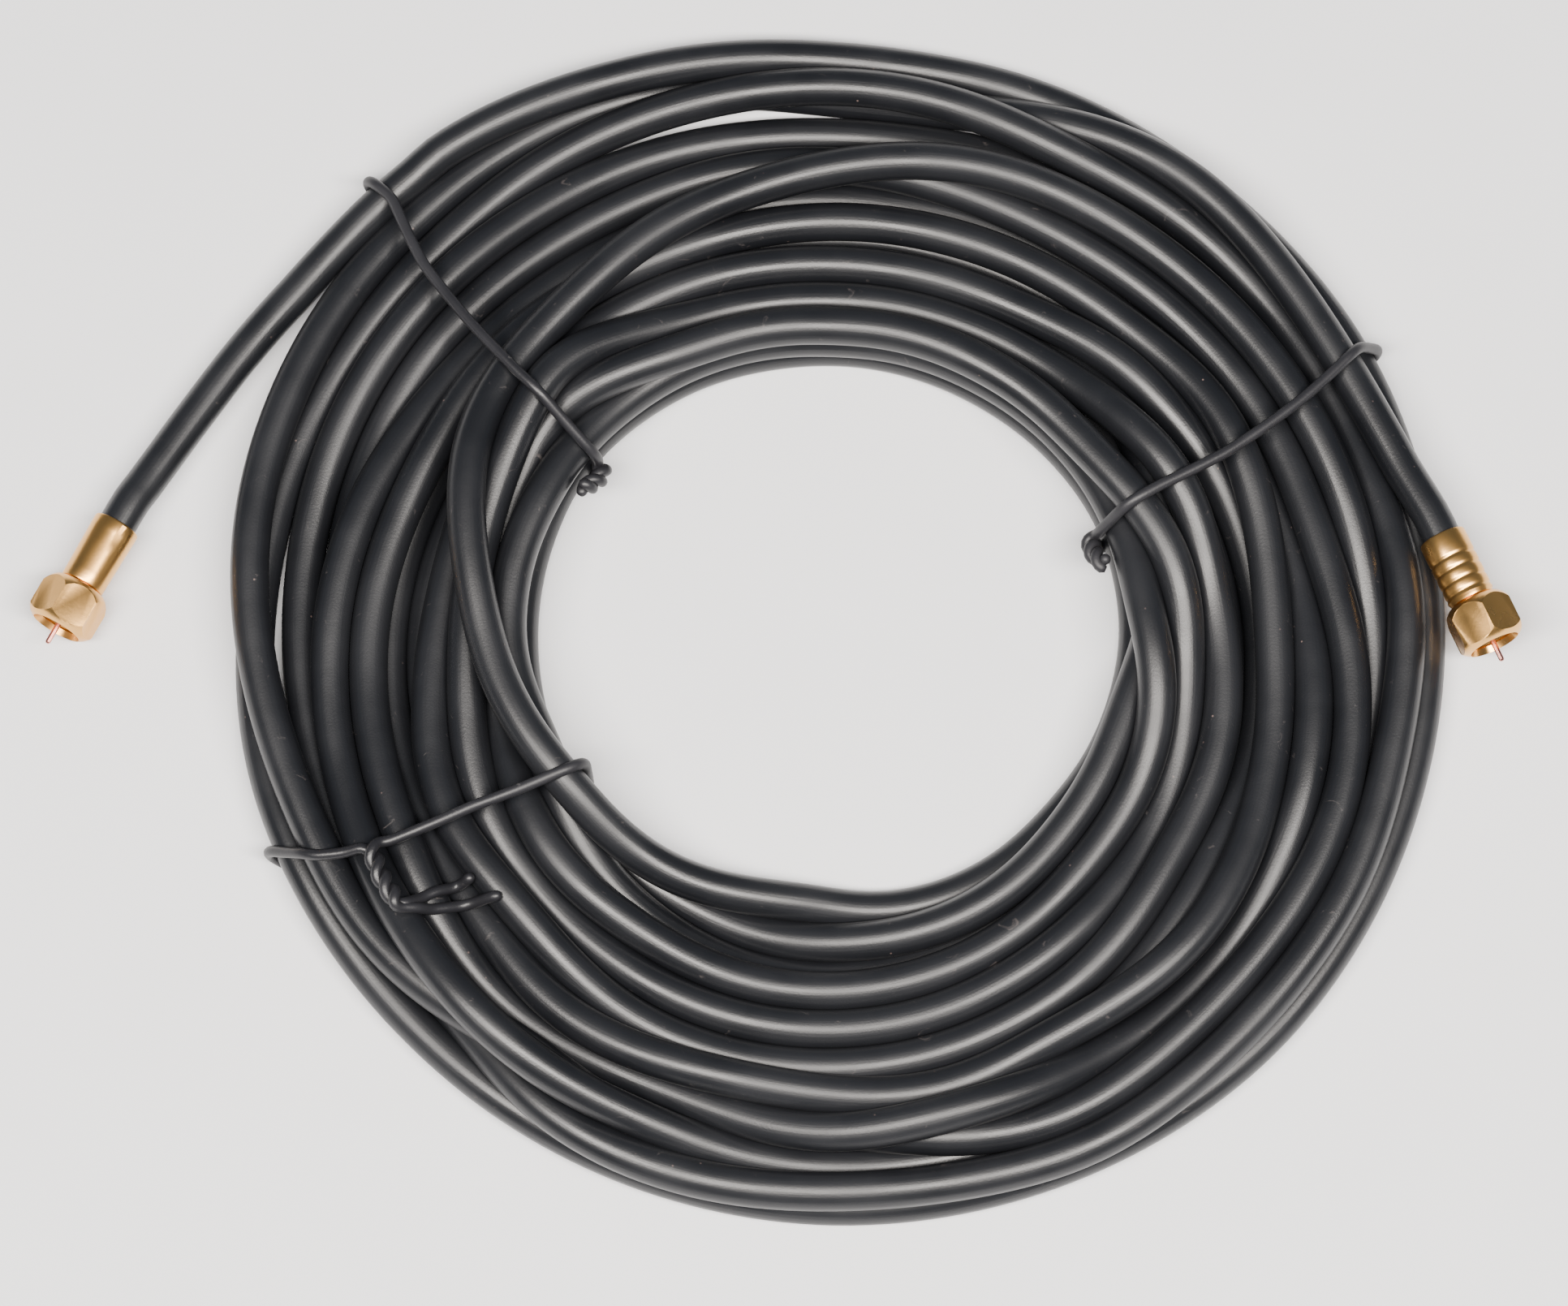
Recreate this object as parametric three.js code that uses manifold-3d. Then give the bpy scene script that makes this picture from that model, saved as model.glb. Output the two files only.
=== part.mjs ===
// A flat coil of coaxial antenna cable with a screw-on connector at each end, held by three wire ties.
// Millimetres, +Z up. The origin is under the middle of the whole part, on the surface it lies on.

import * as THREE from 'three';
import { mergeVertices } from 'three/addons/utils/BufferGeometryUtils.js';
import Module from 'manifold-3d';

// Driving dimensions

const cableDiameter = 6.9;
const coilBore = 101;
const bottomTurns = 8;
const turnSpacing = 7.2;
const layerRise = 5.9;

const sleeveDiameter = 8.6;
const sleeveLength = 12.8;
const neckDiameter = 7;
const flangeDiameter = 8.2;
const flangeThickness = 1.4;
const nutAcrossFlats = 11.1;
const nutLength = 8.6;
const nutBore = 8.9;
const nutBackWall = 1.6;
const nutChamfer = 0.45;
const dielectricDiameter = 4.6;
const dielectricLength = 2.4;
const conductorDiameter = 1;
const conductorReach = 3.2;

const tieDiameter = 2;
const tieChannelSpare = 0.4;
const twistPitch = 5.6;

const clearance = 0.3;

// How finely round shapes are cut

const coilSides = 40;
const cableSides = 10;
const connectorSides = 20;
const tieSides = 6;

// Worked-out sizes of the wound ring

const cableRadius = cableDiameter / 2;
const tieRadius = tieDiameter / 2;
const boreRadius = coilBore / 2;
const topTurns = bottomTurns - 1;
const grooveAngle = 30;
const crestFacets = 3;
const crestHalfAngle = (180 - 2 * grooveAngle) / crestFacets / 2;
const restHeight = cableRadius * Math.cos(THREE.MathUtils.degToRad(crestHalfAngle));
const innerTurnRadius = boreRadius + cableRadius;
const outerTurnRadius = innerTurnRadius + (bottomTurns - 1) * turnSpacing;
const coilRadius = outerTurnRadius + cableRadius;
const topTurnHeight = restHeight + layerRise;
const shoulderHeight = topTurnHeight + 1;
const shoulderRadius = outerTurnRadius - turnSpacing / 2 + cableDiameter + clearance;

// Where the two ends lie: angle round the coil, distance beyond the shoulder, height

const leftTailRoute = [
  [106, 0.1, shoulderHeight],
  [118, 1.2, shoulderHeight - 0.7],
  [128, 3.1, shoulderHeight - 2],
  [134, 4.2, shoulderHeight - 2.8],
  [140, 5.2, 6.4],
  [147, 6.6, 5.8],
  [154, 9.5, 5.4],
  [160, 11.9, 5.4],
  [165, 15, 5.7],
];
const rightTailRoute = [
  [27, 0.1, shoulderHeight + 0.3],
  [22.5, 0.1, shoulderHeight + 0.8],
  [18, 0, shoulderHeight + 1.6],
  [13.5, -0.5, shoulderHeight + 2],
];

const nutCornerRadius = nutAcrossFlats / 2 / Math.cos(Math.PI / 6);
const connectors = [
  {
    side: 'left', angle: 171.7, beyond: 20.6, height: nutCornerRadius + clearance,
    heading: 241.5, nutTurn: 10, route: leftTailRoute,
  },
  {
    side: 'right', angle: 7.8, beyond: 0.9, height: shoulderHeight + 1.5,
    heading: 294, nutTurn: 0, route: rightTailRoute,
  },
];

// The ties: the angles where each crosses the rim and the bore, the tail point that it holds, where its ends
// are twisted together, and where the free ends go from there, inwards and sideways

const heldPoint = leftTailRoute[3];
const ties = [
  {
    name: 'tie_upper_left', outer: heldPoint[0], inner: 141, held: heldPoint,
    at: 'bore', side: -1, twists: 1.25, tails: [],
  },
  {
    name: 'tie_upper_right', outer: 29.5, inner: 22.5, held: null,
    at: 'bore', side: 1, twists: 1.25, tails: [],
  },
  {
    name: 'tie_lower_left', outer: 202.5, inner: 210, held: null,
    at: 'top', side: 1, twists: 2,
    tails: [[[-4, 2.2], [-10, 3.4], [-16, 3.4]], [[-5, 4.6], [-12, 6.4], [-20, 8.2]]],
  },
];

// Materials

const jacketPlastic = { color: 0x17181a, roughness: 0.42, metalness: 0 };
const goldPlating = { color: 0xc79a52, roughness: 0.28, metalness: 1 };
const bareCopper = { color: 0xc77d6a, roughness: 0.35, metalness: 1 };
const foamPlastic = { color: 0xe6e2d8, roughness: 0.7, metalness: 0 };
const tiePlastic = { color: 0x101114, roughness: 0.38, metalness: 0 };

const wasm = await Module();
wasm.setup();

const part = new THREE.Group();

function addPiece(parent, name, geometry, look) {
  const mesh = new THREE.Mesh(geometry, new THREE.MeshStandardMaterial(look));
  mesh.name = name;
  parent.add(mesh);
  return mesh;
}

function polar(angle, radius, height) {
  const turn = THREE.MathUtils.degToRad(angle);
  return new THREE.Vector3(radius * Math.cos(turn), radius * Math.sin(turn), height);
}

// Points on an arc from one angle to another, in degrees, both ends included

function arcPoints(x, y, radius, from, to, steps) {
  const points = [];
  for (let step = 0; step <= steps; step += 1) {
    const angle = THREE.MathUtils.degToRad(from + ((to - from) * step) / steps);
    points.push(new THREE.Vector2(x + radius * Math.cos(angle), y + radius * Math.sin(angle)));
  }
  return points;
}

// Joining and cutting solids

function toSolid(geometry) {
  const bare = geometry.clone();
  bare.deleteAttribute('normal');
  bare.deleteAttribute('uv');
  const merged = mergeVertices(bare, 1e-4);
  return new wasm.Manifold(new wasm.Mesh({
    numProp: 3,
    vertProperties: new Float32Array(merged.attributes.position.array),
    triVerts: new Uint32Array(merged.index.array),
  }));
}

function toGeometry(solid) {
  const mesh = solid.getMesh();
  const geometry = new THREE.BufferGeometry();
  geometry.setAttribute('position', new THREE.BufferAttribute(mesh.vertProperties, 3));
  geometry.setIndex(new THREE.BufferAttribute(mesh.triVerts, 1));
  geometry.computeVertexNormals();
  return geometry;
}

// A turned solid about +Y, from [radius, height] corners listed anticlockwise round its section

function turned(corners, sides) {
  const outline = corners.map(([radius, height]) => new THREE.Vector2(radius, height));
  outline.push(outline[0].clone());
  return new THREE.LatheGeometry(outline, sides);
}

// A tube that has one ring of its section at each given point

class StationPath extends THREE.CatmullRomCurve3 {
  getPointAt(u, target) {
    return this.getPoint(u, target);
  }

  getTangentAt(u, target) {
    return this.getTangent(u, target);
  }
}

function roundSection(radius, sides) {
  const section = new THREE.Shape();
  section.setFromPoints(arcPoints(0, 0, radius, 0, 360 - 360 / sides, sides - 1));
  return section;
}

function tube(points, radius, sides) {
  return new THREE.ExtrudeGeometry(roundSection(radius, sides), {
    steps: points.length - 1,
    extrudePath: new StationPath(points),
  });
}

// The wound ring: two nested layers, whose turns show as ridges on its faces and walls

function ringOutline() {
  const meeting = THREE.MathUtils.radToDeg(Math.atan2(layerRise, turnSpacing / 2));
  const outline = [];
  const addArc = (radius, height, from, to, steps) => {
    const points = arcPoints(radius, height, cableRadius, from, to, steps);
    outline.push(...points.map((point) => [point.x, point.y]));
  };
  const innerTop = innerTurnRadius + turnSpacing / 2;
  const outerTop = innerTop + (topTurns - 1) * turnSpacing;

  addArc(innerTurnRadius, restHeight, meeting + grooveAngle, 180 + grooveAngle, 3);
  for (let turn = 0; turn < bottomTurns; turn += 1) {
    const radius = innerTurnRadius + turn * turnSpacing;
    addArc(radius, restHeight, 180 + grooveAngle, 360 - grooveAngle, crestFacets);
  }
  addArc(outerTurnRadius, restHeight, -grooveAngle, 180 - meeting - grooveAngle, 3);
  addArc(outerTop, topTurnHeight, grooveAngle - meeting, grooveAngle, 2);
  for (let turn = topTurns - 1; turn >= 0; turn -= 1) {
    const radius = innerTop + turn * turnSpacing;
    addArc(radius, topTurnHeight, grooveAngle, 180 - grooveAngle, crestFacets);
  }
  addArc(innerTop, topTurnHeight, 180 - grooveAngle, 180 + meeting - grooveAngle, 2);
  return outline.filter((corner, index) => {
    const before = outline[(index + outline.length - 1) % outline.length];
    return Math.hypot(corner[0] - before[0], corner[1] - before[1]) > 0.01;
  });
}

// A tie lies in the upright plane through its two crossings; u is the distance from the coil's axis

function tieFrame(tie) {
  const inner = polar(tie.inner, boreRadius, 0);
  const outer = polar(tie.outer, coilRadius, 0);
  const along = outer.clone().sub(inner);
  const across = new THREE.Vector3(-along.y, along.x, 0).normalize();
  const place = (u, height, sideways = 0) => inner.clone()
    .addScaledVector(along, (u - boreRadius) / (coilRadius - boreRadius))
    .addScaledVector(across, sideways)
    .setZ(height);
  return { inner, along, place };
}

function tieChannel(tie) {
  const { inner, along } = tieFrame(tie);
  const depth = tieDiameter + 2 * clearance;
  const length = along.length() + 4 * cableDiameter;
  const cutter = new THREE.BoxGeometry(length, tieDiameter + 2 * tieChannelSpare, 2 * depth);
  cutter.rotateZ(Math.atan2(along.y, along.x));
  const middle = inner.clone().addScaledVector(along, 0.5);
  cutter.translate(middle.x, middle.y, 0);
  return toSolid(cutter);
}

function makeCoil() {
  const ring = turned(ringOutline(), coilSides);
  ring.rotateX(Math.PI / 2);
  let solid = toSolid(ring);
  for (const tie of ties) {
    solid = solid.subtract(tieChannel(tie));
  }
  addPiece(part, 'cable_coil', toGeometry(solid), jacketPlastic);
}

// The strand round the band, as [u, height] points that start and end at its twist

function strandRound(tie) {
  const reach = cableRadius + clearance + tieRadius;
  const floorRun = tieRadius + clearance / 2;
  const innerTop = innerTurnRadius + turnSpacing / 2;
  const outerTop = outerTurnRadius - turnSpacing / 2;
  const corner = (x, y, from, to, steps) => arcPoints(x, y, reach, from, to, steps)
    .map((point) => [point.x, point.y]);
  const overBore = corner(innerTop, topTurnHeight, 150, 92, 2);
  let overRim = [
    ...corner(outerTop, topTurnHeight, 88, 35, 3),
    ...corner(outerTurnRadius, restHeight, 30, -18, 2),
  ];
  if (tie.held) {
    const [, beyond, height] = tie.held;
    const aroundTail = corner(shoulderRadius + beyond, height, 75, -70, 5);
    overRim = [...corner(outerTop, topTurnHeight, 88, 62, 1), ...aroundTail];
  }
  const under = [[outerTurnRadius + 2, floorRun], [innerTurnRadius - 2, floorRun]];
  const upBore = corner(innerTurnRadius, restHeight, 198, 188, 1);
  const wall = boreRadius - clearance - tieRadius;
  if (tie.at === 'bore') {
    return [...overBore, ...overRim, ...under, ...upBore];
  }
  return [...overRim, ...under, ...upBore, [wall, restHeight + 1.4], ...overBore];
}

// Both ends of a tie wound round each other sideways from the loop, then left free

function twistedEnd(tie, centre, lift, strand) {
  const { place } = tieFrame(tie);
  const radius = tieRadius + clearance / 2;
  const stepsPerTwist = 6;
  const steps = Math.round(tie.twists * stepsPerTwist);
  const points = [];
  for (let step = 0; step <= steps; step += 1) {
    const turn = (step / stepsPerTwist) * 2 * Math.PI + strand * Math.PI;
    const sideways = tie.side * (tieDiameter + (twistPitch * step) / stepsPerTwist);
    const alongLoop = radius * Math.cos(turn);
    const offLoop = radius * Math.sin(turn);
    const u = centre[0] + alongLoop * lift[1] - offLoop * lift[0];
    const height = centre[1] + alongLoop * lift[0] + offLoop * lift[1];
    points.push(place(u, height, sideways));
  }
  const last = tie.side * (tieDiameter + twistPitch * tie.twists);
  const free = tie.tails[strand] ?? [];
  for (const [inwards, onwards] of free) {
    points.push(place(centre[0] + inwards, centre[1], last + onwards));
  }
  return points;
}

function makeTie(tie) {
  const { place } = tieFrame(tie);
  const spread = tieRadius + clearance / 2;
  const off = cableRadius + clearance + tieRadius + spread;
  const onTop = tie.at === 'top';
  const centre = onTop
    ? [outerTurnRadius - 1.6 * turnSpacing, topTurnHeight + off]
    : [boreRadius - clearance - tieRadius - spread, restHeight + layerRise / 2];
  const lift = onTop ? [0, 1] : [1, 0];
  const loop = strandRound(tie).map(([u, height]) => place(u, height));
  const first = twistedEnd(tie, centre, lift, 0).reverse();
  const second = twistedEnd(tie, centre, lift, 1);
  addPiece(part, tie.name, tube([...first, ...loop, ...second], tieRadius, tieSides), tiePlastic);
}

// Connector pieces, along +Y from the cable's end of the sleeve

function sleeveOutline() {
  const sleeve = sleeveDiameter / 2;
  const neck = neckDiameter / 2;
  const flange = flangeDiameter / 2;
  const socket = dielectricDiameter / 2 + clearance;
  const flangeStart = sleeveLength + clearance + nutBackWall + clearance;
  const front = flangeStart + flangeThickness;
  const chamfer = 0.4;
  return {
    front,
    corners: [
      [0, 0],
      [sleeve - chamfer, 0],
      [sleeve, chamfer],
      [sleeve, sleeveLength - chamfer],
      [sleeve - chamfer, sleeveLength],
      [neck, sleeveLength],
      [neck, flangeStart],
      [flange, flangeStart],
      [flange, front],
      [socket, front],
      [socket, front - dielectricLength],
      [0, front - dielectricLength],
    ],
  };
}

function makeNut() {
  const hexagon = new THREE.Shape();
  hexagon.setFromPoints(arcPoints(0, 0, nutCornerRadius, 0, 300, 5));
  const prism = new THREE.ExtrudeGeometry(hexagon, { depth: nutLength, bevelEnabled: false });
  prism.rotateX(-Math.PI / 2);
  const faceRadius = nutAcrossFlats / 2 + nutChamfer / 2;
  const blank = turned([
    [0, 0],
    [faceRadius - nutChamfer, 0],
    [nutCornerRadius + clearance, nutCornerRadius + clearance - faceRadius + nutChamfer],
    [nutCornerRadius + clearance, nutLength - (nutCornerRadius + clearance - faceRadius + nutChamfer)],
    [faceRadius - nutChamfer, nutLength],
    [0, nutLength],
  ], connectorSides);
  const opening = turned([
    [0, -1],
    [neckDiameter / 2 + clearance, -1],
    [neckDiameter / 2 + clearance, nutBackWall],
    [nutBore / 2, nutBackWall],
    [nutBore / 2, nutLength + 1],
    [0, nutLength + 1],
  ], connectorSides);
  return toGeometry(toSolid(prism).intersect(toSolid(blank)).subtract(toSolid(opening)));
}

function makeConnector(end) {
  const holder = new THREE.Group();
  const heading = polar(end.heading, 1, 0);
  const up = new THREE.Vector3(0, 0, 1);
  const upright = new THREE.Matrix4().makeBasis(up, heading, up.clone().cross(heading));
  holder.quaternion.setFromRotationMatrix(upright);
  holder.position.copy(polar(end.angle, shoulderRadius + end.beyond, end.height));
  part.add(holder);

  const { front, corners } = sleeveOutline();
  addPiece(holder, `connector_body_${end.side}`, turned(corners, connectorSides), goldPlating);

  const nut = addPiece(holder, `coupling_nut_${end.side}`, makeNut(), goldPlating);
  nut.position.y = sleeveLength + clearance;
  nut.rotation.y = THREE.MathUtils.degToRad(end.nutTurn);

  const holeRadius = conductorDiameter / 2 + clearance;
  const dielectricBack = front - dielectricLength + clearance;
  addPiece(holder, `dielectric_${end.side}`, turned([
    [holeRadius, dielectricBack],
    [dielectricDiameter / 2, dielectricBack],
    [dielectricDiameter / 2, front],
    [holeRadius, front],
  ], connectorSides), foamPlastic);

  const conductorTip = sleeveLength + clearance + nutLength + conductorReach;
  addPiece(holder, `centre_conductor_${end.side}`, turned([
    [0, dielectricBack],
    [conductorDiameter / 2, dielectricBack],
    [conductorDiameter / 2, conductorTip - 0.3],
    [conductorDiameter / 2 - 0.2, conductorTip],
    [0, conductorTip],
  ], 8), bareCopper);
}

// The loose end of the cable between the ring and its connector

function makeTail(end) {
  const heading = polar(end.heading, 1, 0);
  const socket = polar(end.angle, shoulderRadius + end.beyond, end.height);
  const points = end.route.map(([angle, beyond, height]) => polar(angle, shoulderRadius + beyond, height));
  points.push(socket.clone().addScaledVector(heading, -cableDiameter / 2));
  const route = new THREE.CatmullRomCurve3(points);
  const steps = Math.max(4, Math.round(route.getLength() / (1.3 * cableDiameter)));
  const stations = route.getSpacedPoints(steps);
  stations.push(socket.clone().addScaledVector(heading, -clearance));
  addPiece(part, `cable_tail_${end.side}`, tube(stations, cableRadius, cableSides), jacketPlastic);
}

makeCoil();
connectors.forEach(makeTail);
connectors.forEach(makeConnector);
ties.forEach(makeTie);

// The origin goes under the middle of the whole part

const bounds = new THREE.Box3().setFromObject(part, true);
const middle = bounds.getCenter(new THREE.Vector3());
part.position.set(-middle.x, -middle.y, -bounds.min.z);

export default part;
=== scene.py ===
"""Coil of coaxial cable with two connectors and three wire ties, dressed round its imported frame."""

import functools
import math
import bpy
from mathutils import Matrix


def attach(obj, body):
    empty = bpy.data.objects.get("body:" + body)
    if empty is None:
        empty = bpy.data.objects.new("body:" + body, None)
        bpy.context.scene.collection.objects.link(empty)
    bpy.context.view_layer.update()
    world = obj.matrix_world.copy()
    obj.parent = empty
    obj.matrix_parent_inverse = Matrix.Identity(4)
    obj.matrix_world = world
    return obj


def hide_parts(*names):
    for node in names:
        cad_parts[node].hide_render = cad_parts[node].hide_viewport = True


bl_info = {
    "name": "Coaxial Cable Coil",
    "version": (1, 0, 0),
    "blender": (4, 5, 0),
    "location": "View3D > Sidebar > Cable Coil",
    "description": "Lays a coil of coaxial cable and fits its connectors and ties",
    "category": "Add Mesh",
}

import bpy
import numpy as np
from bpy.props import FloatProperty, FloatVectorProperty, IntProperty, PointerProperty
from mathutils import Matrix, Vector

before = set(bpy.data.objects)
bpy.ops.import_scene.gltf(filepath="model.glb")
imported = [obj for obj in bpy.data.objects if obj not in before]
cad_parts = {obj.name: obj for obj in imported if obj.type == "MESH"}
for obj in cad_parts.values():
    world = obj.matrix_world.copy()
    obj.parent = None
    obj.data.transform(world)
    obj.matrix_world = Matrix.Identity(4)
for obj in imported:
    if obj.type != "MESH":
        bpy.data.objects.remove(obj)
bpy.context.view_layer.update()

# Lengths in this file are millimetres from the middle of the coil unless a name says otherwise.
MM = 0.001
COIL_MIDDLE_X = 10.3725

# The cable and how it lies
CABLE = 6.9
TIE = 2.0
LAYER_RISE = 5.95
NODE_STEP = 3.0
SEEN = 1.0
UNDER = 0.0

# The photograph's view of the coil
VIEW_TILT = math.radians(16.0)
VIEW_DISTANCE = 1300.0
VIEW_HEIGHT = 7.5
VIEW_SQUEEZE = 1.0358
VIEW_MIDDLE_UP = 0.9
PICTURE_WIDTH = 1932
PICTURE_SCALE = 6.96
COIL_RIGHT_OF_MIDDLE = 8.62
COIL_ABOVE_MIDDLE = 5.14
SENSOR = 36.0

# Ends of the cable: angle round the coil, radius, height and heading of each connector's mouth
RIGHT_MOUTH = (7.8, 108.85, 11.642, 294.0)
LEFT_MOUTH = (171.7, 128.55, 6.709, 241.5)
COIL_EDGE = 107.95
SHOULDER = 10.142
STUB_OUT = 5.0
STUB_IN = 2.6

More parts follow.
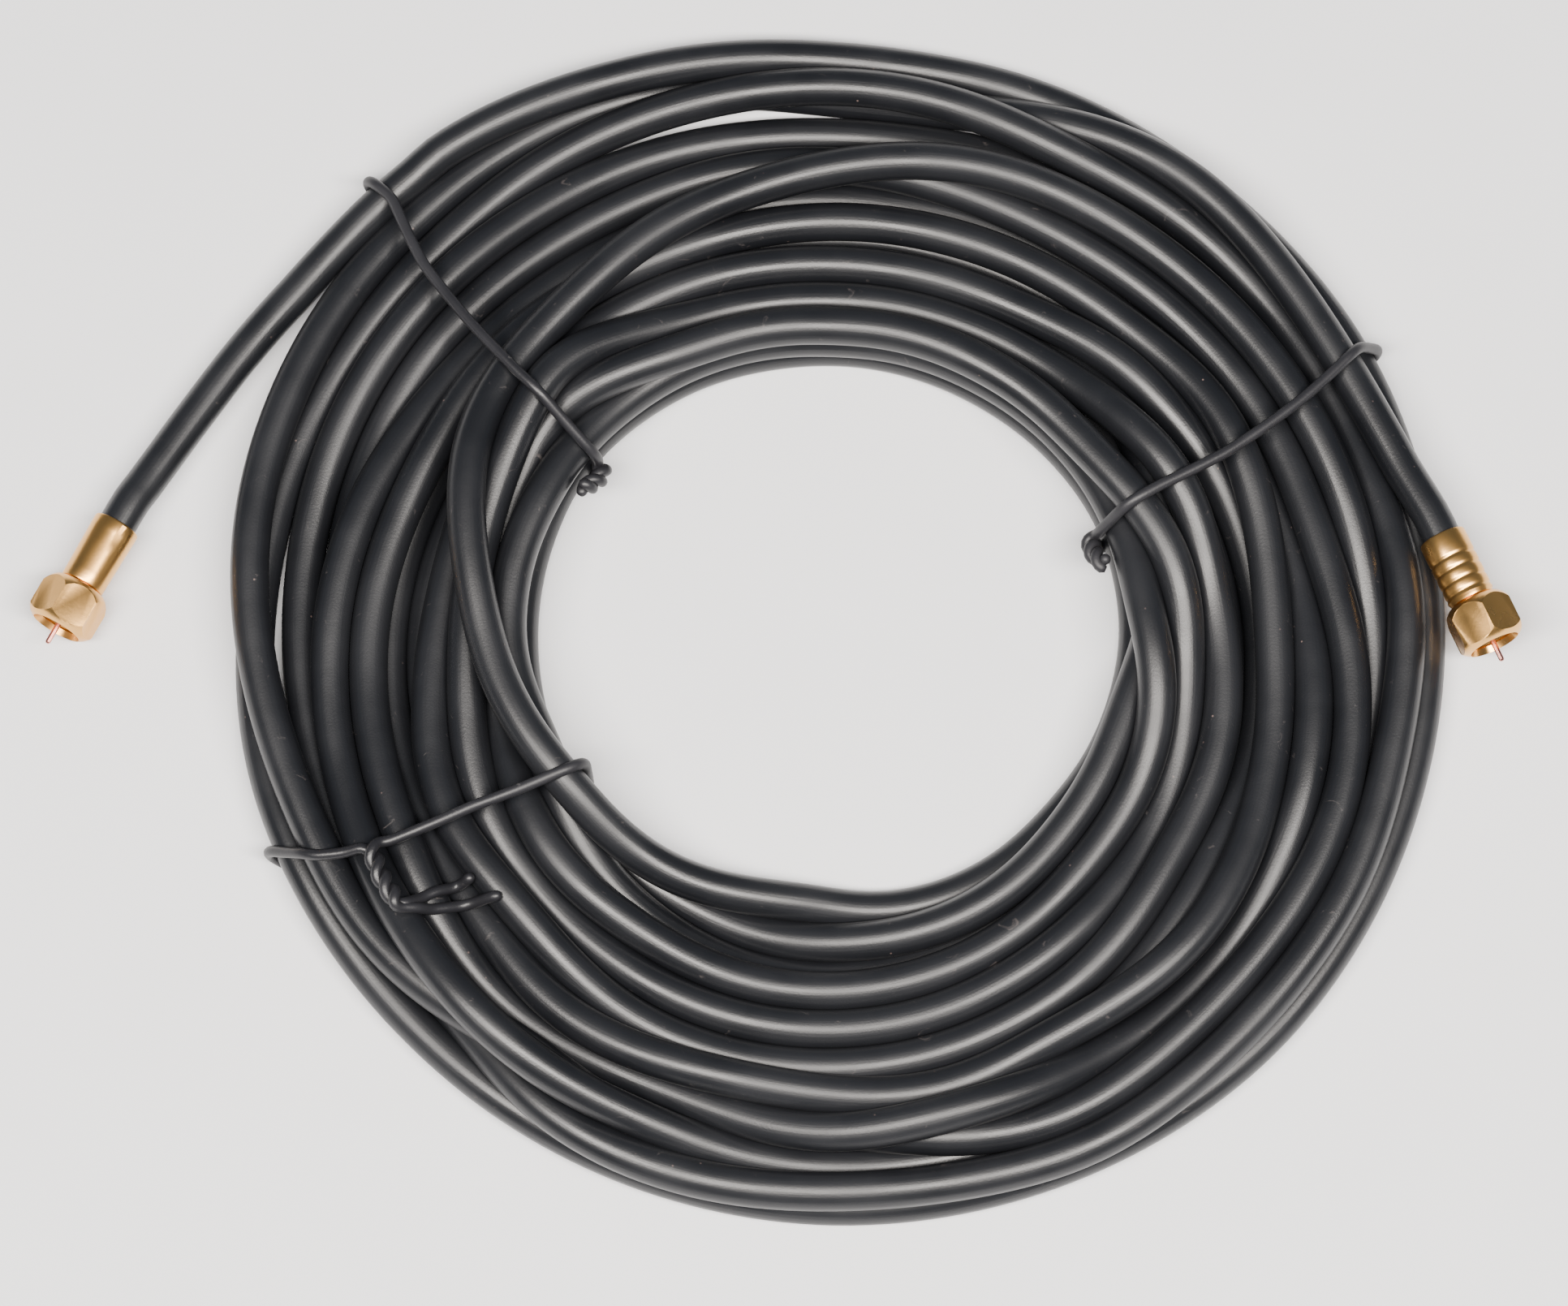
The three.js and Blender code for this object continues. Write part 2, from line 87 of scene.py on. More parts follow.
# Each lane of cable in its order from the right end to the left one.
# A point is the angle round the coil, the radius that the camera sees, and the layer it lies in.
# SEEN lanes were read from the photograph, and UNDER lanes are guesses at what it hides.
LANES = [
    (SEEN, [(13, 105.3, 1.2), (20, 102.7, 1), (30, 102, 1), (45, 102, 1), (60, 102.5, 1), (68, 103, 0.7)]),
    (UNDER, [(78, 97.2, 0), (86, 96.6, 0), (94, 97, 0)]),
    (SEEN, [(105, 103.7, 0), (112, 104.2, 0), (120, 106, 0), (130, 107.6, 0), (140, 107.8, 0.3),
        (150, 107.5, 0.8), (160, 106.3, 1), (170, 104.6, 1.2), (180, 102.7, 1.4), (190, 100.9, 1.4),
        (200, 99.6, 1.3), (210, 99.1, 1.3), (220, 99.1, 1.1), (232, 99.4, 0.7)]),
    (UNDER, [(245, 97, 0)]),
    (SEEN, [(264, 95.1, 0.6), (270, 95.7, 1), (280, 97.1, 1), (290, 97.8, 1), (310, 98.1, 1),
        (320, 97.6, 1), (330, 96.6, 1), (340, 95.3, 1), (350, 93.4, 1), (0, 90.9, 1), (10, 88.8, 1),
        (20, 86.9, 1), (30, 85.1, 1), (40, 83.8, 1), (50, 82.9, 1), (60, 82.3, 1), (80, 82.9, 1),
        (90, 84, 1), (103, 85.6, 1), (110, 85.4, 1), (120, 86.2, 1), (130, 87.2, 1), (140, 87.9, 1),
        (150, 87.9, 1), (160, 87.6, 0.5)]),
    (UNDER, [(175, 87.5, 0), (200, 86, 0), (230, 84, 0), (270, 82.5, 0.2), (300, 81, 0.7)]),
    (SEEN, [(318, 80.3, 0.5), (340, 78.3, 0.3), (350, 76.6, 0.2), (0, 75.4, 0.2), (10, 74, 0.3),
        (20, 72.6, 0.5), (30, 71.1, 0.8), (40, 69.4, 1), (50, 68, 1), (60, 66.8, 1), (70, 66.1, 1),
        (80, 65.7, 1), (90, 65.7, 1), (100, 65.8, 1), (110, 66.5, 1), (120, 67.5, 1), (130, 68.2, 1),
        (138, 68.5, 1), (155, 67.6, 1), (170, 67.4, 1), (180, 69, 1), (190, 71.4, 1), (200, 73.6, 1),
        (210, 75.4, 1), (220, 77.6, 1), (230, 79, 1), (240, 79.9, 1), (250, 80.9, 1), (260, 81.6, 1),
        (270, 81.5, 1), (280, 80.9, 1), (290, 79.9, 1), (300, 78.6, 1), (310, 77.2, 1), (320, 75.4, 1),
        (330, 73.6, 1), (340, 71.8, 1), (350, 70.1, 1), (0, 67.5, 1), (10, 66.1, 1), (20, 64.7, 1),
        (30, 63.2, 1), (40, 61.8, 1), (50, 61.2, 1), (60, 60.6, 1), (70, 59.9, 1), (80, 59.9, 1),
        (90, 60.1, 1), (100, 60.6, 1), (110, 61.5, 1), (120, 62.8, 1), (130, 64.2, 1), (140, 65.2, 1),
        (149, 65.3, 1), (167, 64, 1), (185, 63.8, 1), (190, 64.9, 1), (200, 66.5, 1), (210, 68.5, 1),
        (220, 70, 1), (230, 71.4, 1), (240, 72.6, 1), (250, 73.7, 1), (260, 74.3, 1), (270, 74.4, 1),
        (285, 73, 1), (300, 71.4, 1), (310, 70.1, 1), (320, 68.2, 1), (330, 66.5, 1), (340, 64.7, 1),
        (350, 62.9, 1), (0, 61.1, 1.2), (10, 58.9, 1.6), (20, 57.5, 1.9), (30, 55.7, 2), (40, 54.6, 2),
        (50, 53.6, 2), (60, 52.9, 2), (80, 52.7, 2), (100, 53.3, 2), (110, 54.3, 2), (120, 55.7, 1.7),
        (130, 57, 1.3), (140, 58.6, 1), (150, 61.1, 1), (159, 62.3, 1), (180, 62, 1), (199, 62.1, 1),
        (210, 63.6, 1), (220, 64.9, 1), (230, 66.1, 1), (240, 66.8, 1), (250, 67.5, 1), (270, 68.2, 1),
        (280, 67.8, 1), (290, 66.5, 1), (300, 64.7, 1), (310, 63.6, 1), (320, 62.2, 1), (330, 61.1, 1),
        (340, 58.9, 1), (350, 57, 1), (0, 55, 1), (10, 53.9, 1), (20, 52.7, 1), (30, 51.4, 1),
        (40, 50.7, 1)]),
    (UNDER, [(60, 51.5, 1), (90, 51.5, 1), (115, 52, 1)]),
    (SEEN, [(130, 52.6, 1), (140, 54.3, 1), (150, 56.2, 1), (160, 58, 1), (170, 59.4, 1),
        (195, 59.6, 1), (217, 59.9, 1), (225, 60.3, 1), (230, 61.1, 1), (240, 61.8, 1), (250, 62.2, 1),
        (270, 62.8, 1), (280, 62.8, 0.8), (290, 62.2, 0.5), (300, 61.4, 0.2), (310, 60.3, 0),
        (320, 58.9, 0)]),
    (UNDER, [(0, 59.5, 0), (60, 60, 0), (120, 61.5, 0), (180, 64.5, 0), (230, 68, 0), (270, 70, 0),
        (320, 72.5, 0)]),
    (SEEN, [(345, 71.8, 0), (0, 70, 0), (20, 68, 0)]),
    (UNDER, [(40, 68.5, 0)]),
    (SEEN, [(62, 71.0, 0), (80, 70.4, 0), (100, 71.1, 0), (128, 72.1, 0.3), (152, 71.8, 1),
        (160, 73.3, 1), (170, 74.7, 1), (180, 76.6, 1), (190, 78.3, 1), (200, 79.5, 1), (210, 80.2, 1),
        (220, 81.5, 1), (230, 82.9, 1), (240, 84.1, 1), (250, 84.8, 1), (260, 85.2, 1), (270, 85.5, 1),
        (280, 85.5, 1), (290, 85.8, 1), (300, 85.5, 1), (310, 84.9, 1), (320, 84.2, 1), (330, 83, 1),
        (340, 82.2, 1), (350, 80.9, 1.1), (0, 79.7, 1.2), (10, 78.6, 1.2), (20, 77.6, 1.1),
        (30, 76.6, 1), (40, 75.7, 1), (50, 75.1, 1), (60, 74.9, 1), (80, 74.4, 1), (100, 74.4, 1),
        (110, 74.4, 1), (118, 74.2, 1), (137, 76.3, 1), (143, 76.6, 1), (150, 77.6, 1), (160, 79, 1),
        (170, 80.5, 1), (180, 82.2, 1), (190, 83.8, 1), (200, 85.1, 1), (210, 86, 1), (220, 87.4, 1),
        (230, 88.8, 1), (240, 90.2, 1), (250, 90.9, 1), (260, 91.7, 1), (270, 92, 1), (280, 92.2, 1),
        (300, 92, 1), (310, 91.7, 1), (320, 90.9, 1), (330, 89.9, 1), (340, 88.6, 1), (350, 86.8, 1),
        (0, 84.6, 1), (10, 82.6, 1), (18, 81.3, 0.6), (30, 79.5, 0), (60, 79, 0), (90, 79, 0),
        (110, 79.3, 0.2), (124, 79.8, 0.8), (130, 80.2, 1), (140, 81.2, 1), (150, 83, 1),
        (160, 85.1, 1), (170, 86.6, 1), (180, 87.9, 1), (190, 89.5, 1), (200, 90.9, 1), (210, 93, 1),
        (220, 94.2, 1.1), (230, 96.6, 1.3), (240, 97.7, 1.2), (250, 98.1, 0.7), (266, 98.3, 0.2)]),
    (UNDER, [(280, 98.5, 0), (310, 98.8, 0), (335, 97.2, 0.3)]),
    (SEEN, [(350, 96, 0.7), (0, 94.8, 1), (10, 93.7, 1.4), (20, 93, 1.8), (30, 92.2, 2), (40, 91.5, 2),
        (60, 89.4, 2), (70, 88.4, 2), (80, 86.9, 2), (90, 84.8, 2), (105, 80.9, 2), (120, 76.9, 2),
        (135, 73.1, 2), (150, 69.3, 2), (165, 65.5, 2), (180, 61.9, 2), (195, 58.4, 2), (210, 55.6, 2),
        (225, 53.9, 1.8), (240, 52.6, 1.5), (260, 51.5, 1.2), (280, 51.3, 1), (300, 52.4, 0.8),
        (315, 53.4, 0.5)]),
    (UNDER, [(332, 53.5, 0), (0, 53, 0), (20, 52, 0), (60, 51.5, 0), (120, 52, 0)]),
    (SEEN, [(160, 53.4, 0), (170, 54.6, 0), (180, 56, 0), (195, 56, 0), (215, 56.8, 0.5),
        (235, 57.5, 1), (250, 58.2, 1), (270, 58.5, 1), (280, 58.3, 1), (300, 57.8, 1), (310, 57.2, 1),
        (320, 56.3, 1), (330, 55.3, 1), (340, 54.5, 1)]),
    (UNDER, [(350, 54.5, 1), (10, 57.5, 0.9), (25, 61, 0.7), (40, 64, 0.3), (60, 66, 0),
        (120, 66.5, 0), (180, 71, 0), (240, 75.5, 0), (280, 78, 0), (300, 80, 0), (320, 83, 0),
        (340, 86.5, 0), (0, 90, 0), (30, 92.5, 0)]),
    (SEEN, [(60, 93.8, 0.3), (70, 93, 0.6), (80, 91.9, 1), (90, 92.2, 1), (100, 93.1, 1),
        (110, 93.7, 1), (120, 94.1, 1), (140, 94.8, 1), (160, 94.8, 1), (180, 94.4, 0.8),
        (190, 93.9, 0.6)]),
    (UNDER, [(205, 95.5, 0), (225, 99, 0)]),
    (SEEN, [(240, 101.2, 0.4), (250, 101.9, 0.8), (260, 102.3, 1), (270, 103.2, 1), (280, 103.3, 1),
        (290, 102.6, 1), (300, 101.6, 1), (310, 101, 1), (320, 101, 1), (340, 100.6, 1),
        (350, 100.3, 1), (0, 100.1, 0.7), (10, 99.4, 0.5), (20, 98.9, 0.5), (30, 98.4, 0.5),
        (40, 98.1, 0.6), (60, 98.4, 1), (80, 99.1, 1), (100, 100.1, 1), (120, 100.9, 1),
        (140, 101.2, 1), (155, 101, 0.7), (165, 100.8, 0.3)]),
    (UNDER, [(180, 101.8, 0)]),
    (SEEN, [(192, 103.6, 0), (205, 105.2, 0), (220, 105.4, 0), (240, 106, 0), (260, 107, 0),
        (280, 107.8, 0), (300, 108, 0), (320, 107.6, 0), (340, 106.6, 0), (350, 105.9, 0),
        (0, 105.2, 0), (20, 104.2, 0), (45, 104, 0), (60, 104, 0.4), (70, 104.4, 1), (80, 104.3, 1.2),
        (90, 104.7, 1.2), (100, 106, 1.2)]),
]

# The left tail beyond the last lane: angle, distance beyond the coil's edge, height
LEFT_TAIL = [(106, 0.1, SHOULDER), (118, 1.2, SHOULDER - 0.7), (128, 3.1, SHOULDER - 2),
             (134, 4.2, SHOULDER - 2.8), (140, 5.2, 6.4), (147, 6.6, 5.8), (154, 9.5, 5.4),
             (160, 11.9, 5.4), (165, 15, 5.7)]

# The band's outer and inner edge, read as the camera sees them: angle, radius
BAND_OUTER = [(0, 108.5), (45, 107.3), (90, 107.5), (135, 108.5), (180, 107), (225, 107), (270, 109.3),
              (315, 110.4), (345, 108.8), (360, 108.5)]
BAND_INNER = [(0, 50.7), (30, 49.6), (60, 48.1), (90, 47.8), (120, 49.9), (150, 51.4), (180, 52),
              (210, 53.2), (225, 52.4), (240, 50), (270, 47.1), (300, 47.4), (330, 49.9), (360, 50.7)]

# Each wire tie's line across the band as the camera sees it: angle, radius
TIE_LINES = {
    "tie_upper_left": [(134, 112.5), (137, 99.1), (139, 84.8), (140.5, 72.6), (142, 54.6)],
    "tie_upper_right": [(29.5, 107.5), (27, 93.4), (24.5, 76.1), (23.5, 63.2), (22, 51.7)],
    "tie_lower_left": [(200.5, 107.8), (204, 100.6), (206, 92), (207.5, 71.8), (209.5, 57.5), (210, 53.9)],
}
TIE_TOP = 18.0
TIE_HUMP = 13.0

# How the cable settles
SETTLE_STEPS = 1600
PULL_SEEN = 0.03
PULL_UNDER = 0.02
PULL_END = 0.5
LIFT_SEEN = 0.003
STIFFNESS = 1.2
GRAVITY = 0.03
HIDDEN_GIVE = 0.4
SEEN_ENOUGH = 0.9
PUSHES = 2
KERNEL_REACH = 14
START_HELD = 14
END_HELD = 131
TAIL_LEAVES = 104
# Where a turn has no node at a station, its place is set this far off, and one turn further than the last
FAR_OFF = 1e6
FAR_STEP = 1e4

# The ties' own wire
TIE_SPARE = 0.1
TIE_STEP = 0.8
OUTLINE_SIDES = 32
TWIST_PITCH = 7.0
TWIST_STEP = 0.35
TWIST_SPREAD = 1.05
UPPER_TWISTS = 1.25
TWIST_GAP = 3 * TIE
KNOT_LIFT = TIE * 0.6
CURVE_PARTS = 6
FREE_END_EASE = 4
TIE_EASE = 3
TIE_END_SHARE = 0.55
TIE_SIDES = 14
# An upper tie's pigtail from the bore: distance towards the eye, along the wall, and up
PIGTAIL = [(0.3, 0, 0), (1.6, 0.8, 0.4), (1.9, 2.8, 1.8), (1.5, 4.8, 3.2), (0.9, 6.4, 4.4)]
# The lower-left tie's twist on top and its two free ends, as the camera sees them: angle, radius
TOP_TWIST = [(205.9, 91.2), (209.5, 92.2), (213.5, 92.4)]
TOP_ENDS = [[(214.2, 86), (215.3, 78.5)], [(216, 88), (218, 82), (219.6, 76.6)]]

# Connector lengths, from the cable's end of its sleeve towards the nut
SOCKET_DEPTH = 3.0
SOCKET_SPARE = 0.06
SLEEVE_LENGTH = 12.8
WAIST = 0.25
NECK = 7.0
FLANGE = 8.2
FLANGE_AT = 15.0
FLANGE_THICKNESS = 1.4
NUT_AT = 13.1
NUT_LENGTH = 8.6
NUT_BORE = 8.9
NUT_BACK_WALL = 1.6
NUT_EDGE = 0.16
NUT_EDGE_PARTS = 2
LEFT_NUT_TURN = 10
SLEEVE_SIDES = 64
BLANK_SIDES = 96
BORE_SIDES = 64
SHARP_EDGE = math.radians(25)
SMOOTH_EDGE = math.radians(32)
# Flare of the sleeve's socket and rounding of the sleeve's end
SOCKET_LEAD = 0.25
SOCKET_FLARE = 0.22
SLEEVE_EDGE = 0.35
FLANGE_EDGE = 0.15
# Room round the neck in the nut's back wall, and the wider mouth of its bore
NECK_SPARE = 0.25
MOUTH_SPARE = 0.15
# Rounding of the nut's back and front: distance from its end, radius beyond half its width across the flats
NUT_BACK_CURVE = [(0, -0.7), (0.3, -0.35), (0.7, 0.0), (1.2, 0.35), (1.8, 0.68), (2.4, 0.95)]
NUT_FRONT_CURVE = [(1.9, 0.95), (1.3, 0.6), (0.75, 0.1), (0.35, -0.4), (0.1, -0.8), (0, -1.05)]
THREAD_PITCH = 0.8
THREAD_DEPTH = 0.25
CRIMP_RINGS = (4.6, 6.8, 9.0, 11.1)
# Groove of a crimp ring: distance along the sleeve from its middle, depth
RING_GROOVE = [(-0.7, 0), (-0.35, 0.05), (-0.12, 0.16), (0.12, 0.16), (0.35, 0.05), (0.7, 0)]
# Dents of each sleeve: angle round it from its right side, distance from the cable's end, depth, size
DIMPLES = {"left": [(60, 2.6, 0.35, 1.0), (115, 3.2, 0.2, 1.2)], "right": [(55, 2.2, 0.35, 0.9)]}

# Floor and key light
FLOOR_SIZE = 6.0
KEY_LEAN = 18.0
KEY_DISTANCE = 1150.0
KEY_LONG = 1500.0
KEY_WIDE = 230.0
KEY_COLOUR = (1.0, 0.945, 0.89)
FILL_COLOUR = (0.66, 0.80, 1.0, 1)


def curve_value(table, angle):
    """Value at an angle in a table of (angle, value) that runs round the coil."""
    return np.interp(angle % 360, [row[0] for row in table], [row[1] for row in table])


def place_seen_at(angle, radius, height):
    """True angle and radius of what the camera sees at this angle and radius, at this height."""
    turned = math.radians(angle)
    across = radius * math.cos(turned)
    up = radius * math.sin(turned) / VIEW_SQUEEZE - VIEW_MIDDLE_UP
    eye = np.array([0, -VIEW_DISTANCE * math.sin(VIEW_TILT),
                    VIEW_HEIGHT + VIEW_DISTANCE * math.cos(VIEW_TILT)])
    spot = np.array([across, up * math.cos(VIEW_TILT), VIEW_HEIGHT + up * math.sin(VIEW_TILT)])
    place = eye + (height - eye[2]) / (spot[2] - eye[2]) * (spot - eye)
    return math.degrees(math.atan2(place[1], place[0])), math.hypot(place[0], place[1])


def lane_points():
    """Rows of unwrapped angle, radius, height and whether seen, and the angle where the last turn starts."""
    rows = []
    last = 0
    for seen, points in LANES:
        for angle, radius, layer in points:
            while angle < last:
                angle += 360
            last = angle
            height = CABLE / 2 + layer * LAYER_RISE
            true_angle, true_radius = place_seen_at(angle, radius, height)
            while true_angle < angle - 180:
                true_angle += 360
            rows.append((true_angle, true_radius, height, seen))
    last_turn = last - last % 360
    for angle, beyond, height in LEFT_TAIL:
        rows.append((last_turn + angle, COIL_EDGE + beyond, height, SEEN))
    rows.insert(0, (*RIGHT_MOUTH[:3], SEEN))
    rows.append((last_turn + LEFT_MOUTH[0], *LEFT_MOUTH[1:3], SEEN))
    return np.array(rows), last_turn


def stiff_kernel():
    """Weights that bend a line of nodes as a stiff cable bends."""
    count = 2 * KERNEL_REACH + 1
    middle = np.arange(1, count - 1)
    curvature = np.zeros((count, count))
    curvature[middle, middle - 1] = 1
    curvature[middle, middle] = -2
    curvature[middle, middle + 1] = 1
    weights = np.linalg.inv(np.eye(count) + STIFFNESS * curvature.T @ curvature)[KERNEL_REACH]
    return weights / weights.sum()


def stiffened(values, kernel, pull, target):
    """Values along the cable bent as one stiff line, each drawn to its target by its own pull."""
    start = 2 * values[0] - values[KERNEL_REACH:0:-1]
    end = 2 * values[-1] - values[-2:-KERNEL_REACH - 2:-1]
    bent = np.convolve(np.concatenate([start, values, end]), kernel, "valid")
    return bent + (target - bent) * pull / (1 + pull)


def tie_lines():
    """Each tie's true line over the band: arrays of radius, smallest first, and angle."""
    lines = {}
    for name, points in TIE_LINES.items():
        places = [place_seen_at(angle, radius, TIE_TOP) for angle, radius in points]
        true = sorted((radius, angle) for angle, radius in places)
        radii = np.array([radius for radius, _ in true])
        lines[name] = (radii, np.array([angle % 360 for _, angle in true]))
    return lines


@functools.lru_cache(maxsize=1)
def settle_cable():
    """Unwrapped angle, radius and height of the cable's nodes once its turns rest on each other."""
    rows, last_turn = lane_points()
    index = np.arange(math.ceil(rows[0, 0] / NODE_STEP), math.floor(rows[-1, 0] / NODE_STEP) + 1)
    angle = index * NODE_STEP
    target, height, seen = (np.interp(angle, rows[:, 0], rows[:, column]) for column in (1, 2, 3))
    held = (angle < START_HELD) | (angle > last_turn + END_HELD)
    seen = seen > SEEN_ENOUGH
    pull = np.where(held, PULL_END, np.where(seen, PULL_SEEN, PULL_UNDER))
    lift = np.where(held, PULL_END, np.where(seen, LIFT_SEEN, 0.0))
    kernel = stiff_kernel()

    inner_limit = np.array([
        place_seen_at(a, curve_value(BAND_INNER, a) + CABLE / 2, CABLE / 2)[1] for a in angle])
    outer_limit = np.array([
        place_seen_at(a, curve_value(BAND_OUTER, a) - CABLE / 2, CABLE / 2)[1] for a in angle])
    outer_limit[held | (angle > last_turn + TAIL_LEAVES)] = np.inf
    # The turns rest on the ties that pass under them, in a long low hump
    floor = np.full(len(angle), CABLE / 2)
    for line_radius, line_angle in tie_lines().values():
        away = (angle - np.interp(target, line_radius, line_angle) + 180) % 360 - 180
        floor = np.maximum(floor, CABLE / 2 + TIE * np.exp(-((away / TIE_HUMP) ** 2)))

    stations = round(360 / NODE_STEP)
    turns = index[-1] // stations + 1
    node_at = np.full((turns, stations), -1)
    node_at[index // stations, index % stations] = np.arange(len(index))
    there = node_at >= 0
    far_off = FAR_OFF + np.arange(turns)[:, None] * FAR_STEP
    hidden = np.where(there, (~seen & ~held)[node_at], False)
    give = np.where(hidden[:, None] & hidden[None], HIDDEN_GIVE, 1.0)
    radius, z = target.copy(), np.maximum(height, floor)
    for _ in range(SETTLE_STEPS):
        radius = stiffened(radius, kernel, pull, target)
        z = stiffened(z - GRAVITY, kernel, lift, height)
        for _ in range(PUSHES):
            across = np.where(there, radius[node_at], far_off)
            up = np.where(there, z[node_at], far_off)
            apart_r = across[:, None] - across[None]
            apart_z = up[:, None] - up[None]
            square = apart_r**2 + apart_z**2
            touching = (square < CABLE**2) & (square > 0)
            apart = np.sqrt(np.where(touching, square, 1))
            push = np.where(touching, (CABLE - apart) / 2 / apart, 0) * give
            shared = np.sqrt(np.maximum(touching.sum(1), 1))
            radius[node_at[there]] += ((push * apart_r).sum(1) / shared)[there]
            z[node_at[there]] += ((push * apart_z).sum(1) / shared)[there]
            z = np.maximum(z, floor)
            radius = np.clip(radius, inner_limit, outer_limit)
    radius = stiffened(radius, kernel, pull, target)
    z = np.maximum(stiffened(z, kernel, lift, height), floor)
    return angle, radius, z


def mouth_frame(mouth):
    """Place of a connector's mouth and the way that its connector points."""
    angle, radius, height, heading = mouth
    turned, pointed = math.radians(angle), math.radians(heading)
    place = np.array([radius * math.cos(turned), radius * math.sin(turned), height])
    return place, np.array([math.cos(pointed), math.sin(pointed), 0.0])


def round_curve(points, parts):
    """Points of a smooth curve through these ones, with this many steps between each pair."""
    points = np.asarray(points, float)
    padded = np.vstack([2 * points[0] - points[1], points, 2 * points[-1] - points[-2]])
    before, start, end, after = padded[:-3], padded[1:-2], padded[2:-1], padded[3:]
    curve = []
    for step in range(parts):
        t = step / parts
        curve.append(0.5 * (2 * start + (end - before) * t
                            + (2 * before - 5 * start + 4 * end - after) * t**2
                            + (3 * start - before - 3 * end + after) * t**3))
    merged = np.stack(curve, 1).reshape(-1, 3)
    return np.vstack([merged, points[-1]])


@functools.lru_cache(maxsize=1)
def cable_line():
    """Centreline of the whole cable, from inside the right connector to inside the left one."""
    angle, radius, z = settle_cable()
    nodes = np.stack([radius * np.cos(np.radians(angle)), radius * np.sin(np.radians(angle)), z], 1)
    right, right_way = mouth_frame(RIGHT_MOUTH)
    left, left_way = mouth_frame(LEFT_MOUTH)
    start = [right + right_way * STUB_IN, right, right - right_way * STUB_OUT]
    end = [left - left_way * STUB_OUT, left, left + left_way * STUB_IN]
    free = nodes[2:-1]
    return round_curve(np.vstack([start, free, end]), 2)


def row_frame(points):
    """Coil millimetres as metres in the row frame."""
    return (np.asarray(points, float) + [COIL_MIDDLE_X, 0, 0]) * MM


def tube_mesh(name, line, radii, sides):
    """Tube round a line of points in metres, with its skin laid out as u round it and v along it."""
    line = np.asarray(line, float)
    count = len(line)
    radii = np.broadcast_to(radii, count)
    tangents = np.gradient(line, axis=0)
    tangents /= np.linalg.norm(tangents, axis=1)[:, None]
    side = np.cross(tangents[0], [0, 0, 1.0])
    side /= np.linalg.norm(side)
    sides_way = []
    for tangent in tangents:
        side = side - tangent * (side @ tangent)
        side = side / np.linalg.norm(side)
        sides_way.append(side)
    across = np.array(sides_way)
    upward = np.cross(across, tangents)
    turn = np.arange(sides) * 2 * math.pi / sides
    ring = (across[:, None] * np.cos(turn)[None, :, None]
            + upward[:, None] * np.sin(turn)[None, :, None])
    points = (line[:, None] + ring * radii[:, None, None]).reshape(-1, 3)
    faces, skin = [], []
    along = np.concatenate([[0], np.cumsum(np.linalg.norm(np.diff(line, axis=0), axis=1))])
    for ring_index in range(count - 1):
        here, there = ring_index * sides, (ring_index + 1) * sides
        low, high = along[ring_index], along[ring_index + 1]
        for k in range(sides):
            after = (k + 1) % sides
            faces.append((here + k, there + k, there + after, here + after))
            left, right = k / sides, (k + 1) / sides
            skin.extend(((left, low), (left, high), (right, high), (right, low)))
    faces.append(tuple(range(sides)))
    faces.append(tuple(reversed(range((count - 1) * sides, count * sides))))
    skin.extend([(0.5, 0.0)] * (2 * sides))
    mesh = bpy.data.meshes.new(name)
    mesh.from_pydata(points.tolist(), [], faces)
    mesh.uv_layers.new(name="skin").data.foreach_set("uv", np.array(skin).ravel())
    mesh.update()
    return mesh


def new_object(name, mesh):
    """Object of this mesh in the scene, shaded smooth and selected alone."""
    piece = bpy.data.objects.new(name, mesh)
    bpy.context.scene.collection.objects.link(piece)
    select_alone(piece)
    bpy.ops.object.shade_smooth()
    return piece


def select_alone(piece):
    """Makes this object the one that the operators act on."""
    bpy.ops.object.select_all(action="DESELECT")
    bpy.context.view_layer.objects.active = piece
    piece.select_set(True)


# Ties
def outline_round(points):
    """Convex outline of flat points, in order round them."""
    ordered = sorted(map(tuple, points))
    halves = []
    for run in (ordered, ordered[::-1]):
        chain = []
        for p in run:
            while len(chain) > 1 and ((chain[-1][0] - chain[-2][0]) * (p[1] - chain[-2][1])
                                      <= (chain[-1][1] - chain[-2][1]) * (p[0] - chain[-2][0])):
                chain.pop()
            chain.append(p)
        halves.append(chain[:-1])
    return np.array(halves[0] + halves[1])


def even_steps(points, step):
    """The same line with its points this far apart."""
    points = np.asarray(points, float)
    along = np.concatenate([[0], np.cumsum(np.linalg.norm(np.diff(points, axis=0), axis=1))])
    places = np.linspace(0, along[-1], max(2, round(along[-1] / step) + 1))
    return np.stack([np.interp(places, along, points[:, axis]) for axis in range(points.shape[1])], 1)


def eased(points, passes):
    """The same line with its corners rounded and its ends left where they are."""
    points = points.copy()
    for _ in range(passes):
        points[1:-1] = 0.25 * points[:-2] + 0.5 * points[1:-1] + 0.25 * points[2:]
    return points


def tie_section(line_radius, line_angle):
    """Radius and height of each turn where a tie's line crosses it."""
    angle, radius, z = settle_cable()
    away = (angle - np.interp(radius, line_radius, line_angle) + 180) % 360 - 180
    crossing = np.nonzero((away[:-1] <= 0) & (away[1:] > 0) & (away[1:] < 2 * NODE_STEP))[0]
    share = -away[crossing] / (away[crossing + 1] - away[crossing])
    return np.stack([radius[crossing] + share * (radius[crossing + 1] - radius[crossing]),
                     z[crossing] + share * (z[crossing + 1] - z[crossing])], 1)


